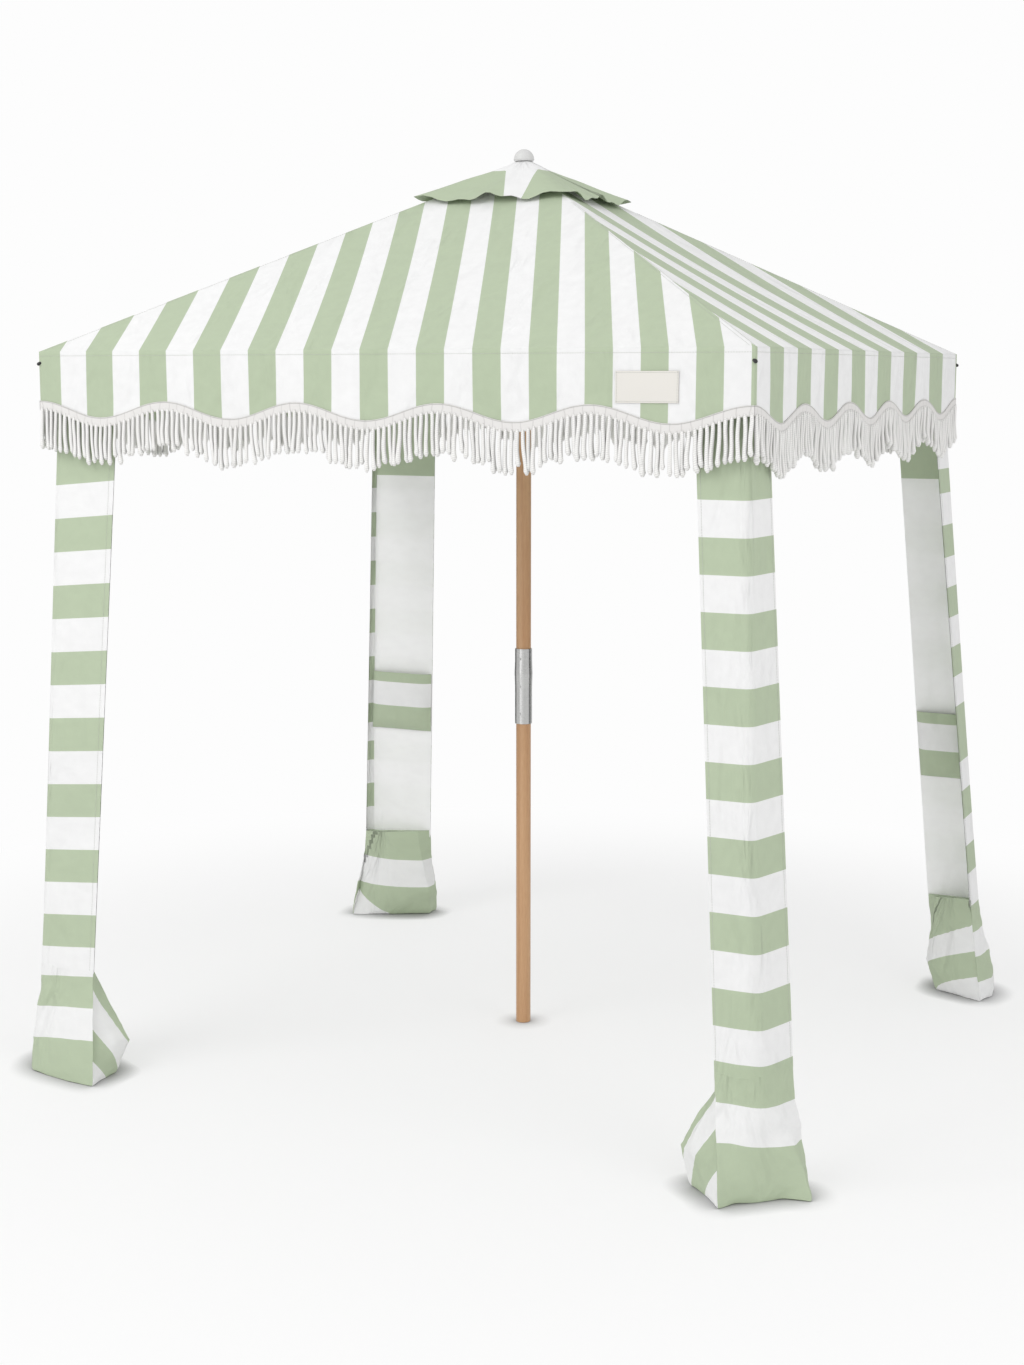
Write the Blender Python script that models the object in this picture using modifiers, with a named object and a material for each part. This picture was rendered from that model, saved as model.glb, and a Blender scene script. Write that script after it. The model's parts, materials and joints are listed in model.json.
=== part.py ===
"""Striped beach tent: a central two-part wooden pole carries a folding four-rib canopy.

The canopy hangs on four cloth legs that end in sand pockets. The frame folds like an umbrella:
the runner slides down the upper pole, the struts pull the ribs in, and each leg folds in half.

Lengths are in metres, angles in radians. The origin is the centre of the pole's foot on the ground,
+Z is up, +X runs along the wide front, and +Y points from the front to the back.
"""

import math

import bmesh
import bpy
from mathutils import Matrix, Vector

# Canopy
CANOPY_WIDTH = 1.80
CANOPY_DEPTH = 1.56
EAVE_HEIGHT = 1.745
ROOF_RISE = 0.465
ROOF_SAG = 0.012
VENT_HALF_SHARE = 0.12
ROOF_CLOTH = 0.0015
SEAM_GAP = 0.0003

# Vent cap over the opening at the top
CAP_HALF_SHARE = 0.235
CAP_LIFT = 0.016
CAP_RIPPLE = 0.007
CAP_CLOTH = 0.0012
CAP_LEVEL_RADIUS = 0.016
CAP_RIPPLES_A_SIDE = 2

# Valance, its scalloped hem and the fringe
SCALLOPS_A_SIDE = 5
VALANCE_DROP = 0.135
SCALLOP_DEPTH = 0.038
VALANCE_CLOTH = 0.0015
TAPE_WIDTH = 0.022
TAPE_OVER_HEM = 0.002
FRINGE_LENGTH = 0.095
FRINGE_THICKNESS = 0.004

# Blank patch sewn on the front valance
PATCH_WIDTH = 0.140
PATCH_HEIGHT = 0.065
PATCH_THICKNESS = 0.0008
PATCH_FROM_MIDDLE = 0.668
PATCH_BELOW_EAVE = 0.0795

# Cloth legs: each is a strip folded at its outer corner. Its two free edges are given as inward
# distances from that corner, along X and along Y, at the eave and where they would meet the ground.
LEG_INSET = 0.029
LEG_SPREADS = {
    "front_left": (0.066, 0.084),
    "front_right": (0.084, 0.084),
    "back_right": (0.150, 0.084),
    "back_left": (0.092, 0.084),
}
LEG_EDGES_AT_EAVE = {
    "front_left": ((0.185, 0.000), (0.000, 0.060)),
    "front_right": ((0.116, 0.000), (0.000, 0.118)),
    "back_right": ((0.135, 0.000), (0.000, 0.130)),
    "back_left": ((0.205, 0.000), (0.000, 0.034)),
}
LEG_EDGES_AT_GROUND = {
    "front_left": ((0.172, -0.012), (-0.010, 0.070)),
    "front_right": ((0.084, -0.004), (-0.050, 0.115)),
    "back_right": ((0.144, -0.004), (-0.010, 0.100)),
    "back_left": ((0.213, -0.004), (-0.008, 0.048)),
}
LEG_CLOTH = 0.002
LEG_CORNER_RADIUS = 0.022
LEG_TOP_GAP = 0.003
LEG_BULGE = 0.014
KNEE_HEIGHT = 0.870
KNEE_GAP = 0.002
RIB_NOTCH_CLEARANCE = 0.004
RIB_NOTCH_BELOW = 0.012

# Sand pockets at the feet of the legs. On the ground each flares out to its own two edges, and the
# inner wall folds at an ear: both are inward distances from the corner of the leg.
SAND_POCKET_HEIGHT = 0.255
SAND_POCKET_WALL = 0.003
SAND_POCKET_CORNER_RADIUS = 0.060
SAND_POCKET_BULGE = 0.036
SAND_POCKET_MOUTH = 0.030
SAND_POCKET_EDGES = {
    "front_left": ((0.236, -0.070), (-0.020, 0.100)),
    "front_right": ((0.125, -0.040), (-0.080, 0.085)),
    "back_right": ((0.130, -0.030), (-0.020, 0.095)),
    "back_left": ((0.215, -0.040), (-0.010, 0.110)),
}
SAND_POCKET_EARS = {
    "front_left": ((0.249, 0.040), (0.230, 0.020)),
    "front_right": ((0.160, 0.030), (0.140, 0.015)),
    "back_right": ((0.140, 0.062), (0.125, 0.050)),
    "back_left": ((0.232, 0.040), (0.222, 0.015)),
}
SAND_POCKET_FULL_SHARE = 0.68
SAND_POCKET_BELLY = 0.115
SAND_POCKET_FOOT_BELLY = 0.090

# Storage pockets on the inner faces of the legs
STORE_TOP = 0.775
STORE_HEIGHT = 0.181
STORE_DEPTH = 0.020
STORE_SIDE_MARGIN = 0.010
STORE_CLOTH = 0.0015

# Pole and sleeve
POLE_RADIUS = 0.019
POLE_ABOVE_PIVOT = 0.012
POLE_END_BEVEL = 0.0015
SLEEVE_TOP = 0.995
SEAM_BELOW_SLEEVE_TOP = 0.065
POLE_SEAM = SLEEVE_TOP - SEAM_BELOW_SLEEVE_TOP
SLEEVE_LENGTH = 0.195
SLEEVE_WALL = 0.0026
SLEEVE_BULGE = 0.0012
SLEEVE_BULGE_LENGTH = 0.036
SLIDE_CLEARANCE = 0.0004
SCREW_RADIUS = 0.0022
SCREW_HEAD_RADIUS = 0.0034
SCREW_HEAD_HEIGHT = 0.0011
SCREW_GRIP = 0.010
SCREW_END_MARGIN = 0.026
SCREW_CLEARANCE = 0.0003

# Crown, ribs and struts
PIVOT_RADIUS = 0.034
CROWN_BELOW_APEX = 0.032
CROWN_RADIUS = 0.044
CROWN_SLOT_WIDTH = 0.0105
CROWN_WALL = 0.0045
CROWN_SKIRT = 0.040
CROWN_TOP_RISE = 0.036
CROWN_SHOULDER_RISE = 0.014
CROWN_BOSS_RADIUS = 0.013
RING_WIRE_RADIUS = 0.0015
RING_GROOVE_CLEARANCE = 0.0005
TAB_THICKNESS = 0.0075
EYE_RADIUS = 0.0065
EYE_HOLE_RADIUS = 0.0024
TAB_LENGTH = 0.032
RIB_RADIUS = 0.006
RIB_TIP_BELOW_EAVE = 0.028
RIB_SHORT_OF_CORNER = 0.0155
TIP_RADIUS = 0.0078
TIP_NOSE_RADIUS = 0.0042
TIP_WALL_GAP = 0.0003
TIP_END_WALL = 0.0018
TIP_LENGTH = 0.040
TIP_PAST_CORNER = 0.006
TIP_HOLE_CLEARANCE = 0.0012
BRACKET_ALONG_RIB = 0.470
BRACKET_DROP = 0.016
BRACKET_LENGTH = 0.026
BRACKET_WALL = 0.0025
BRACKET_PIN_RADIUS = 0.0020
BRACKET_SIDE_CLEARANCE = 0.0006
STRUT_RADIUS = 0.005
STRUT_TAB_THICKNESS = 0.006
STRUT_TAB_LENGTH = 0.026
STRUT_EYE_RADIUS = 0.0058

# Runner and its thumb screw
RUNNER_SLEEVE_WALL = 0.0035
RUNNER_SLEEVE_BELOW = 0.072
RUNNER_SLEEVE_ABOVE = 0.014
RUNNER_FLANGE_THICKNESS = 0.017
RUNNER_COLLAR = 0.004
RUNNER_COLLAR_HEIGHT = 0.020
THUMB_STUD_RADIUS = 0.003
THUMB_STUD_CLEARANCE = 0.0003
THUMB_KNOB_RADIUS = 0.012
THUMB_KNOB_LENGTH = 0.016
THUMB_NECK_LENGTH = 0.006
THUMB_LOBES = 5
THUMB_LOBE_DEPTH = 0.0022

# Finial
FINIAL_RADIUS = 0.0255
FINIAL_HEIGHT = 0.0295
FINIAL_FOOT_HEIGHT = 0.004
FINIAL_STUD_RADIUS = 0.004
FINIAL_STUD_LENGTH = 0.034
FINIAL_STUD_CLEARANCE = 0.0004

# Modelling values
OVERRUN = 0.010
ROUND_STEPS = 28
SMALL_STEPS = 14
CAP_STEPS = 32
SMOOTH_ANGLE = math.radians(35)
MERGE = 0.00001

HALF_WIDTH = CANOPY_WIDTH / 2
HALF_DEPTH = CANOPY_DEPTH / 2
APEX_HEIGHT = EAVE_HEIGHT + ROOF_RISE
CROWN_PIVOT_HEIGHT = APEX_HEIGHT - CROWN_BELOW_APEX
POLE_TOP = CROWN_PIVOT_HEIGHT + POLE_ABOVE_PIVOT
CORNERS = {"front_left": (-1, -1), "front_right": (1, -1), "back_right": (1, 1), "back_left": (-1, 1)}

RIB_TIP_RADIUS = math.hypot(HALF_WIDTH, HALF_DEPTH)
RIB_TIP_HEIGHT = EAVE_HEIGHT - RIB_TIP_BELOW_EAVE
RIB_LENGTH = math.hypot(RIB_TIP_RADIUS - PIVOT_RADIUS, CROWN_PIVOT_HEIGHT - RIB_TIP_HEIGHT)
RIB_OPEN_ANGLE = math.atan2(RIB_TIP_RADIUS - PIVOT_RADIUS, CROWN_PIVOT_HEIGHT - RIB_TIP_HEIGHT)

# The strut's outer pivot hangs below the rib. The strut is as long as the pivot is far from the crown
# pivot, so its inner end stays straight below the crown pivot while it turns twice as far as the rib.
STRUT_LENGTH = math.hypot(BRACKET_ALONG_RIB, BRACKET_DROP)
BRACKET_ANGLE = math.atan2(BRACKET_DROP, BRACKET_ALONG_RIB)
RUNNER_OPEN_DROP = 2 * STRUT_LENGTH * math.cos(RIB_OPEN_ANGLE - BRACKET_ANGLE)
RUNNER_HEIGHT = CROWN_PIVOT_HEIGHT - RUNNER_OPEN_DROP


def colour(hex_code):
    """Linear RGBA of an sRGB hex colour."""
    shares = [int(hex_code[n : n + 2], 16) / 255 for n in (0, 2, 4)]
    return [s / 12.92 if s <= 0.04045 else ((s + 0.055) / 1.055) ** 2.4 for s in shares] + [1.0]


def make_material(name, hex_code, roughness, metallic=0.0):
    made = bpy.data.materials.new(name)
    made.use_nodes = True
    made.diffuse_color = colour(hex_code)
    shader = made.node_tree.nodes["Principled BSDF"]
    shader.inputs["Base Color"].default_value = colour(hex_code)
    shader.inputs["Roughness"].default_value = roughness
    shader.inputs["Metallic"].default_value = metallic
    return made


def clear_scene():
    for thing in list(bpy.context.scene.objects):
        bpy.data.objects.remove(thing, do_unlink=True)


def make_collection(name):
    made = bpy.data.collections.new(name)
    bpy.context.scene.collection.children.link(made)
    return made


clear_scene()
PARTS = make_collection("beach_tent")
CUTTERS = make_collection("cutters")
MATERIALS = {
    "green_cloth": make_material("green_cloth", "BCC9AF", 0.85),
    "white_cloth": make_material("white_cloth", "F4F3F0", 0.85),
    "fringe_cord": make_material("fringe_cord", "E9E6E1", 0.9),
    "wood": make_material("wood", "C0946B", 0.45),
    "steel": make_material("steel", "A9A9A8", 0.3, 1.0),
    "white_plastic": make_material("white_plastic", "E8E6E1", 0.4),
    "black_plastic": make_material("black_plastic", "222222", 0.5),
    "fibreglass": make_material("fibreglass", "DDDBD5", 0.4),
}


def add_object(name, mesh, material=None, collection=PARTS):
    made = bpy.data.objects.new(name, mesh)
    collection.objects.link(made)
    if material:
        mesh.materials.clear()
        mesh.materials.append(MATERIALS[material])
    return made


def add_empty(name, place):
    made = bpy.data.objects.new(name, None)
    made.empty_display_size = PIVOT_RADIUS
    made.location = place
    PARTS.objects.link(made)
    return made


def mesh_of(bm, name):
    bmesh.ops.recalc_face_normals(bm, faces=bm.faces)
    mesh = bpy.data.meshes.new(name)
    bm.to_mesh(mesh)
    bm.free()
    return mesh


def smooth(mesh):
    mesh.shade_smooth()
    mesh.set_sharp_from_angle(angle=SMOOTH_ANGLE)
    return mesh


def baked(thing):
    """The evaluated mesh of an object whose modifiers and helpers are then removed."""
    graph = bpy.context.evaluated_depsgraph_get()
    mesh = bpy.data.meshes.new_from_object(thing.evaluated_get(graph))
    helpers = [m.object for m in thing.modifiers if m.type == "BOOLEAN"]
    for old in [thing, *helpers]:
        bpy.data.objects.remove(old, do_unlink=True)
    welded = bmesh.new()
    welded.from_mesh(mesh)
    bmesh.ops.remove_doubles(welded, verts=welded.verts, dist=MERGE)
    welded.to_mesh(mesh)
    welded.free()
    return mesh


def helper(mesh):
    """A hidden object for a Boolean modifier."""
    made = add_object("helper", mesh, collection=CUTTERS)
    made.hide_render = True
    made.display_type = "WIRE"
    return made


def boolean(thing, other, operation="DIFFERENCE"):
    cut = thing.modifiers.new(operation.lower(), "BOOLEAN")
    cut.object = helper(other)
    cut.operation = operation
    cut.solver = "EXACT"
    return thing


def cylinder_mesh(radius, start, end, steps=SMALL_STEPS, end_radius=None):
    """A closed cylinder or cone from start to end."""
    start, end = Vector(start), Vector(end)
    along = end - start
    bm = bmesh.new()
    far = radius if end_radius is None else end_radius
    bmesh.ops.create_cone(
        bm, cap_ends=True, segments=steps, radius1=radius, radius2=far, depth=along.length
    )
    turn = Vector((0, 0, 1)).rotation_difference(along).to_matrix().to_4x4()
    bmesh.ops.transform(bm, matrix=Matrix.Translation((start + end) / 2) @ turn, verts=bm.verts)
    return mesh_of(bm, "cylinder")


def box_mesh(size, centre):
    bm = bmesh.new()
    bmesh.ops.create_cube(bm, size=1.0)
    bmesh.ops.scale(bm, vec=size, verts=bm.verts)
    bmesh.ops.translate(bm, vec=centre, verts=bm.verts)
    return mesh_of(bm, "box")


def lug_mesh(eye, inward, radius, length, low, high):
    """A flat lug in the XZ plane: a half round about its eye, then straight sides. low and high are Y."""
    across = Vector((inward.z, 0, -inward.x))
    turns = [math.pi * s for s in shares(SMALL_STEPS // 2)]
    outline = [eye + across * radius * math.cos(t) - inward * radius * math.sin(t) for t in turns]
    outline += [eye + inward * length - across * radius, eye + inward * length + across * radius]
    bm = bmesh.new()
    near = [bm.verts.new(point + Vector((0, low, 0))) for point in outline]
    far = [bm.verts.new(point + Vector((0, high, 0))) for point in outline]
    bm.faces.new(near)
    bm.faces.new(far)
    for n in range(len(outline)):
        after = (n + 1) % len(outline)
        bm.faces.new((near[n], near[after], far[after], far[n]))
    return mesh_of(bm, "lug")


def turned_mesh(profile, steps=ROUND_STEPS, ring=False):
    """A turned solid. The profile is (radius, height) pairs; that of a ring runs round its wall."""
    mesh = bpy.data.meshes.new("profile")
    points = [(radius, 0.0, height) for radius, height in profile]
    edges = [(n, n + 1) for n in range(len(points) - 1)]
    if ring:
        edges.append((len(points) - 1, 0))
    mesh.from_pydata(points, edges, [])
    thing = add_object("turned", mesh, collection=CUTTERS)
    screw = thing.modifiers.new("screw", "SCREW")
    screw.steps = steps
    screw.render_steps = steps
    screw.use_merge_vertices = True
    screw.merge_threshold = MERGE
    made = baked(thing)
    bm = bmesh.new()
    bm.from_mesh(made)
    return mesh_of(bm, "turned")


def grid_mesh(rows, outside, closed=False, capped=False):
    """A surface through rows of points, facing the way that outside points."""
    bm = bmesh.new()
    made = [[bm.verts.new(point) for point in row] for row in rows]
    columns = len(rows[0])
    last = columns if closed else columns - 1
    for low, high in zip(made, made[1:]):
        for n in range(last):
            after = (n + 1) % columns
            bm.faces.new((low[n], low[after], high[after], high[n]))
    if capped:
        bm.faces.new(made[-1])
    bmesh.ops.remove_doubles(bm, verts=bm.verts, dist=MERGE)
    bmesh.ops.recalc_face_normals(bm, faces=bm.faces)
    bm.normal_update()
    facing = sum(f.calc_area() * outside(f.calc_center_median()).dot(f.normal) for f in bm.faces)
    if facing < 0:
        bmesh.ops.reverse_faces(bm, faces=bm.faces)
    mesh = bpy.data.meshes.new("sheet")
    bm.to_mesh(mesh)
    bm.free()
    return mesh


def solid_sheet(name, mesh, material, thickness, outward=False):
    """A cloth solid: the surface is its outer face, or its inner face where outward is set."""
    thing = add_object(name, mesh, material)
    wall = thing.modifiers.new("cloth", "SOLIDIFY")
    wall.thickness = thickness
    wall.offset = 1.0 if outward else -1.0
    wall.use_even_offset = True
    wall.use_rim = True
    return thing


def shares(count):
    """Even shares from 0 to 1."""
    return [n / count for n in range(count + 1)]


def move_origin(thing, place):
    """Puts an object's origin at place and leaves its shape where it is."""
    thing.data.transform(Matrix.Translation(-Vector(place)))
    thing.location = Vector(place)


def hang_on(thing, empty):
    """Parents an object to an empty and leaves it in place."""
    bpy.context.view_layer.update()
    thing.parent = empty
    thing.matrix_parent_inverse = empty.matrix_world.inverted()


def azimuth_of(corner):
    sign_x, sign_y = CORNERS[corner]
    return math.atan2(sign_y * HALF_DEPTH, sign_x * HALF_WIDTH)


def radial(corner, radius, height):
    """A world point at a radius from the pole, in the upright plane of a corner's rib."""
    angle = azimuth_of(corner)
    return Vector((radius * math.cos(angle), radius * math.sin(angle), height))


# The pole


def sleeve_profile():
    """The outer wall bulges a little where the two poles meet inside."""
    inner = POLE_RADIUS + SLIDE_CLEARANCE
    outer = inner + SLEEVE_WALL
    middle = POLE_SEAM
    reach = SLEEVE_BULGE_LENGTH
    swell = [
        (outer + SLEEVE_BULGE * (1 + math.cos(math.pi * (2 * s - 1))) / 2, middle + reach * (1 - 2 * s))
        for s in shares(4)
    ]
    bottom = SLEEVE_TOP - SLEEVE_LENGTH
    return [(inner, SLEEVE_TOP), (outer, SLEEVE_TOP), *swell, (outer, bottom), (inner, bottom)]


def screw_heights():
    bottom = SLEEVE_TOP - SLEEVE_LENGTH
    return {
        "sleeve_screw_lower": bottom + SCREW_END_MARGIN,
        "sleeve_screw_middle": bottom + SLEEVE_LENGTH / 2,
        "sleeve_screw_upper": SLEEVE_TOP - SCREW_END_MARGIN,
    }


def sleeve_outer_radius(height):
    outer = POLE_RADIUS + SLIDE_CLEARANCE + SLEEVE_WALL
    share = (height - POLE_SEAM) / SLEEVE_BULGE_LENGTH
    if abs(share) >= 1:
        return outer
    return outer + SLEEVE_BULGE * (1 + math.cos(math.pi * share)) / 2


def build_pole(lower_axis, upper_axis):
    seam_half_gap = SEAM_GAP / 2
    lower_top = POLE_SEAM - seam_half_gap
    bevel = POLE_END_BEVEL
    lower = [
        (0.0, lower_top),
        (POLE_RADIUS - bevel, lower_top),
        (POLE_RADIUS, lower_top - bevel),
        (POLE_RADIUS, bevel),
        (POLE_RADIUS - bevel, 0.0),
        (0.0, 0.0),
    ]
    lower_pole = add_object("lower_pole", turned_mesh(lower), "wood")
    for name, height in screw_heights().items():
        if height > POLE_SEAM:
            continue
        depth = POLE_RADIUS - SCREW_GRIP - SCREW_CLEARANCE
        hole = cylinder_mesh(
            SCREW_RADIUS + SCREW_CLEARANCE,
            (0, -depth, height),
            (0, -POLE_RADIUS - OVERRUN, height),
            SMALL_STEPS,
        )
        boolean(lower_pole, hole)
    hang_on(lower_pole, lower_axis)

    foot = POLE_SEAM + seam_half_gap
    stud_hole = FINIAL_STUD_RADIUS + FINIAL_STUD_CLEARANCE
    stud_floor = POLE_TOP - (FINIAL_STUD_LENGTH - finial_stud_in_crown()) - FINIAL_STUD_CLEARANCE
    upper = [
        (0.0, stud_floor),
        (stud_hole, stud_floor),
        (stud_hole, POLE_TOP),
        (POLE_RADIUS - bevel, POLE_TOP),
        (POLE_RADIUS, POLE_TOP - bevel),
        (POLE_RADIUS, foot + bevel),
        (POLE_RADIUS - bevel, foot),
        (0.0, foot),
    ]
    upper_pole = add_object("upper_pole", turned_mesh(upper), "wood")
    hang_on(upper_pole, upper_axis)

    sleeve = add_object("pole_sleeve", turned_mesh(sleeve_profile(), ring=True), "steel")
    for height in screw_heights().values():
        outer = sleeve_outer_radius(height)
        hole = cylinder_mesh(
            SCREW_RADIUS + SCREW_CLEARANCE,
            (0, -POLE_RADIUS / 2, height),
            (0, -outer - OVERRUN, height),
            SMALL_STEPS,
        )
        boolean(sleeve, hole)
    hang_on(sleeve, lower_axis)

    for name, height in screw_heights().items():
        outer = sleeve_outer_radius(height) + SCREW_CLEARANCE
        into_pole = height < POLE_SEAM
        tip = POLE_RADIUS - SCREW_GRIP if into_pole else POLE_RADIUS + SCREW_CLEARANCE
        shank = cylinder_mesh(SCREW_RADIUS, (0, -tip, height), (0, -outer - SCREW_HEAD_HEIGHT / 2, height))
        head = cylinder_mesh(
            SCREW_HEAD_RADIUS,
            (0, -outer, height),
            (0, -outer - SCREW_HEAD_HEIGHT, height),
            SMALL_STEPS,
            SCREW_HEAD_RADIUS - SCREW_HEAD_HEIGHT / 2,
        )
        screw = boolean(add_object(name, shank, "steel"), head, "UNION")
        hang_on(screw, lower_axis)


# The crown and the finial


def crown_top():
    return CROWN_PIVOT_HEIGHT + CROWN_TOP_RISE


def finial_stud_in_crown():
    """Length of the finial's stud between its foot and the top of the pole."""
    return crown_top() + CAP_CLOTH + 2 * SEAM_GAP - POLE_TOP


def slot_mesh(inner, outer, low, high, width, corner):
    """A radial slot cutter for one corner's rib or strut."""
    mesh = box_mesh((outer - inner, width, high - low), ((inner + outer) / 2, 0, (low + high) / 2))
    mesh.transform(Matrix.Rotation(azimuth_of(corner), 4, "Z"))
    return mesh


def build_crown(upper_axis):
    bore = POLE_RADIUS + SLIDE_CLEARANCE
    skirt_radius = bore + CROWN_WALL
    skirt_bottom = CROWN_PIVOT_HEIGHT - CROWN_SKIRT
    flange_bottom = CROWN_PIVOT_HEIGHT - CROWN_SHOULDER_RISE
    shoulder = CROWN_PIVOT_HEIGHT + CROWN_SHOULDER_RISE
    stud_hole = FINIAL_STUD_RADIUS + FINIAL_STUD_CLEARANCE
    socket_roof = POLE_TOP + SEAM_GAP
    profile = [
        (stud_hole, crown_top()),
        (CROWN_BOSS_RADIUS, crown_top()),
        (CROWN_RADIUS, shoulder),
        (CROWN_RADIUS, flange_bottom),
        (skirt_radius, flange_bottom),
        (skirt_radius, skirt_bottom),
        (bore, skirt_bottom),
        (bore, socket_roof),
        (stud_hole, socket_roof),
    ]
    hub = add_object("crown_hub", turned_mesh(profile, ring=True), "white_plastic")
    slot_top = CROWN_PIVOT_HEIGHT + EYE_RADIUS + 2 * RING_GROOVE_CLEARANCE
    for corner in CORNERS:
        boolean(
            hub,
            slot_mesh(
                skirt_radius,
                CROWN_RADIUS + OVERRUN,
                flange_bottom - OVERRUN,
                slot_top,
                CROWN_SLOT_WIDTH,
                corner,
            ),
        )
    groove = RING_WIRE_RADIUS + RING_GROOVE_CLEARANCE
    groove_profile = [
        (PIVOT_RADIUS - groove, CROWN_PIVOT_HEIGHT + groove),
        (PIVOT_RADIUS + groove, CROWN_PIVOT_HEIGHT + groove),
        (PIVOT_RADIUS + groove, flange_bottom - OVERRUN),
        (PIVOT_RADIUS - groove, flange_bottom - OVERRUN),
    ]
    boolean(hub, turned_mesh(groove_profile, ring=True))
    hang_on(hub, upper_axis)

    ring = [
        (
            PIVOT_RADIUS + RING_WIRE_RADIUS * math.cos(2 * math.pi * s),
            CROWN_PIVOT_HEIGHT + RING_WIRE_RADIUS * math.sin(2 * math.pi * s),
        )
        for s in shares(6)[:-1]
    ]
    wire = add_object("crown_ring", turned_mesh(ring, ring=True), "steel")
    hang_on(wire, upper_axis)


def build_finial(upper_axis):
    foot = crown_top() + CAP_CLOTH + 2 * SEAM_GAP
    edge = foot + FINIAL_FOOT_HEIGHT
    dome = [
        (
            FINIAL_RADIUS * math.sin(s * math.pi / 2),
            edge + (FINIAL_HEIGHT - FINIAL_FOOT_HEIGHT) * math.cos(s * math.pi / 2),
        )
        for s in shares(6)
    ]
    profile = [
        *dome,
        (FINIAL_RADIUS - FINIAL_FOOT_HEIGHT / 2, foot),
        (FINIAL_STUD_RADIUS, foot),
        (FINIAL_STUD_RADIUS, foot - FINIAL_STUD_LENGTH),
        (0.0, foot - FINIAL_STUD_LENGTH),
    ]
    finial = add_object("finial", turned_mesh(profile), "white_plastic")
    hang_on(finial, upper_axis)


# Ribs and struts, each made once along +X and turned to its corner


def on_rib(along, below=0.0):
    """A point of the XZ plane at a distance along the open rib, and square below it."""
    sine, cosine = math.sin(RIB_OPEN_ANGLE), math.cos(RIB_OPEN_ANGLE)
    return Vector(
        (
            PIVOT_RADIUS + along * sine - below * cosine,
            0.0,
            CROWN_PIVOT_HEIGHT - along * cosine - below * sine,
        )
    )


def flat_ended_rod(start, end, rod_radius, eye_radius, tab_length, tab_thickness, end_eye=True):
    """A round rod with flat, drilled tabs: one at its start and, if asked, one at its end."""
    direction = (end - start).normalized()
    rod_start = start + direction * (tab_length - rod_radius)
    rod_end = end - direction * (tab_length - rod_radius) if end_eye else end
    thing = add_object("rod", cylinder_mesh(rod_radius, rod_start, rod_end), collection=CUTTERS)
    ends = [(start, direction)] + ([(end, -direction)] if end_eye else [])
    half = tab_thickness / 2
    for eye, inward in ends:
        boolean(thing, lug_mesh(eye, inward, eye_radius, tab_length, -half, half), "UNION")
    reach = Vector((0, half + OVERRUN, 0))
    for eye, inward in ends:
        boolean(thing, cylinder_mesh(EYE_HOLE_RADIUS, eye - reach, eye + reach))
    return thing


def rib_mesh():
    thing = flat_ended_rod(
        on_rib(0),
        on_rib(RIB_LENGTH - RIB_SHORT_OF_CORNER),
        RIB_RADIUS,
        EYE_RADIUS,
        TAB_LENGTH,
        TAB_THICKNESS,
        end_eye=False,
    )
    return baked(thing)


def bracket_mesh():
    """A saddle round the rib with two ears and the pin that carries the strut."""
    direction = (on_rib(1) - on_rib(0)).normalized()
    inner = RIB_RADIUS + SEAM_GAP
    outer = inner + BRACKET_WALL
    start = on_rib(BRACKET_ALONG_RIB - BRACKET_LENGTH / 2)
    end = on_rib(BRACKET_ALONG_RIB + BRACKET_LENGTH / 2)
    thing = add_object("bracket", cylinder_mesh(outer, start, end), collection=CUTTERS)
    gap = STRUT_TAB_THICKNESS / 2 + BRACKET_SIDE_CLEARANCE
    pivot = on_rib(BRACKET_ALONG_RIB, BRACKET_DROP)
    up = on_rib(BRACKET_ALONG_RIB) - pivot
    length = BRACKET_DROP - (inner + outer) / 2 + BRACKET_WALL
    for low in (-gap - BRACKET_WALL, gap):
        ear = lug_mesh(pivot, up.normalized(), STRUT_EYE_RADIUS, length, low, low + BRACKET_WALL)
        boolean(thing, ear, "UNION")
    reach = Vector((0, gap + BRACKET_WALL + SEAM_GAP, 0))
    boolean(thing, cylinder_mesh(BRACKET_PIN_RADIUS, pivot - reach, pivot + reach), "UNION")
    over = direction * OVERRUN
    boolean(thing, cylinder_mesh(inner, start - over, end + over))
    return baked(thing)


def strut_mesh():
    outer_end = on_rib(BRACKET_ALONG_RIB, BRACKET_DROP)
    inner_end = Vector((PIVOT_RADIUS, 0.0, RUNNER_HEIGHT))
    thing = flat_ended_rod(
        inner_end, outer_end, STRUT_RADIUS, STRUT_EYE_RADIUS, STRUT_TAB_LENGTH, STRUT_TAB_THICKNESS
    )
    return baked(thing)


def rib_tip_mesh():
    """A blind cap on the rib's end, whose round nose pokes through the corner of the canopy."""
    direction = (on_rib(1) - on_rib(0)).normalized()
    bore = RIB_RADIUS + TIP_WALL_GAP
    foot = TIP_PAST_CORNER - TIP_LENGTH
    round_from = TIP_PAST_CORNER - TIP_NOSE_RADIUS
    seat = TIP_WALL_GAP - RIB_SHORT_OF_CORNER
    front = seat + TIP_END_WALL
    nose = [
        (TIP_NOSE_RADIUS * math.sin(s * math.pi / 2), round_from + TIP_NOSE_RADIUS * math.cos(s * math.pi / 2))
        for s in shares(4)
    ]
    cap = [(TIP_NOSE_RADIUS, front), (TIP_RADIUS, front), (TIP_RADIUS, foot)]
    profile = [*nose, *cap, (bore, foot), (bore, seat), (0.0, seat)]
    mesh = turned_mesh(profile, SMALL_STEPS)
    turn = Vector((0, 0, 1)).rotation_difference(direction).to_matrix().to_4x4()
    mesh.transform(Matrix.Translation(on_rib(RIB_LENGTH)) @ turn)
    return mesh


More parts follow.
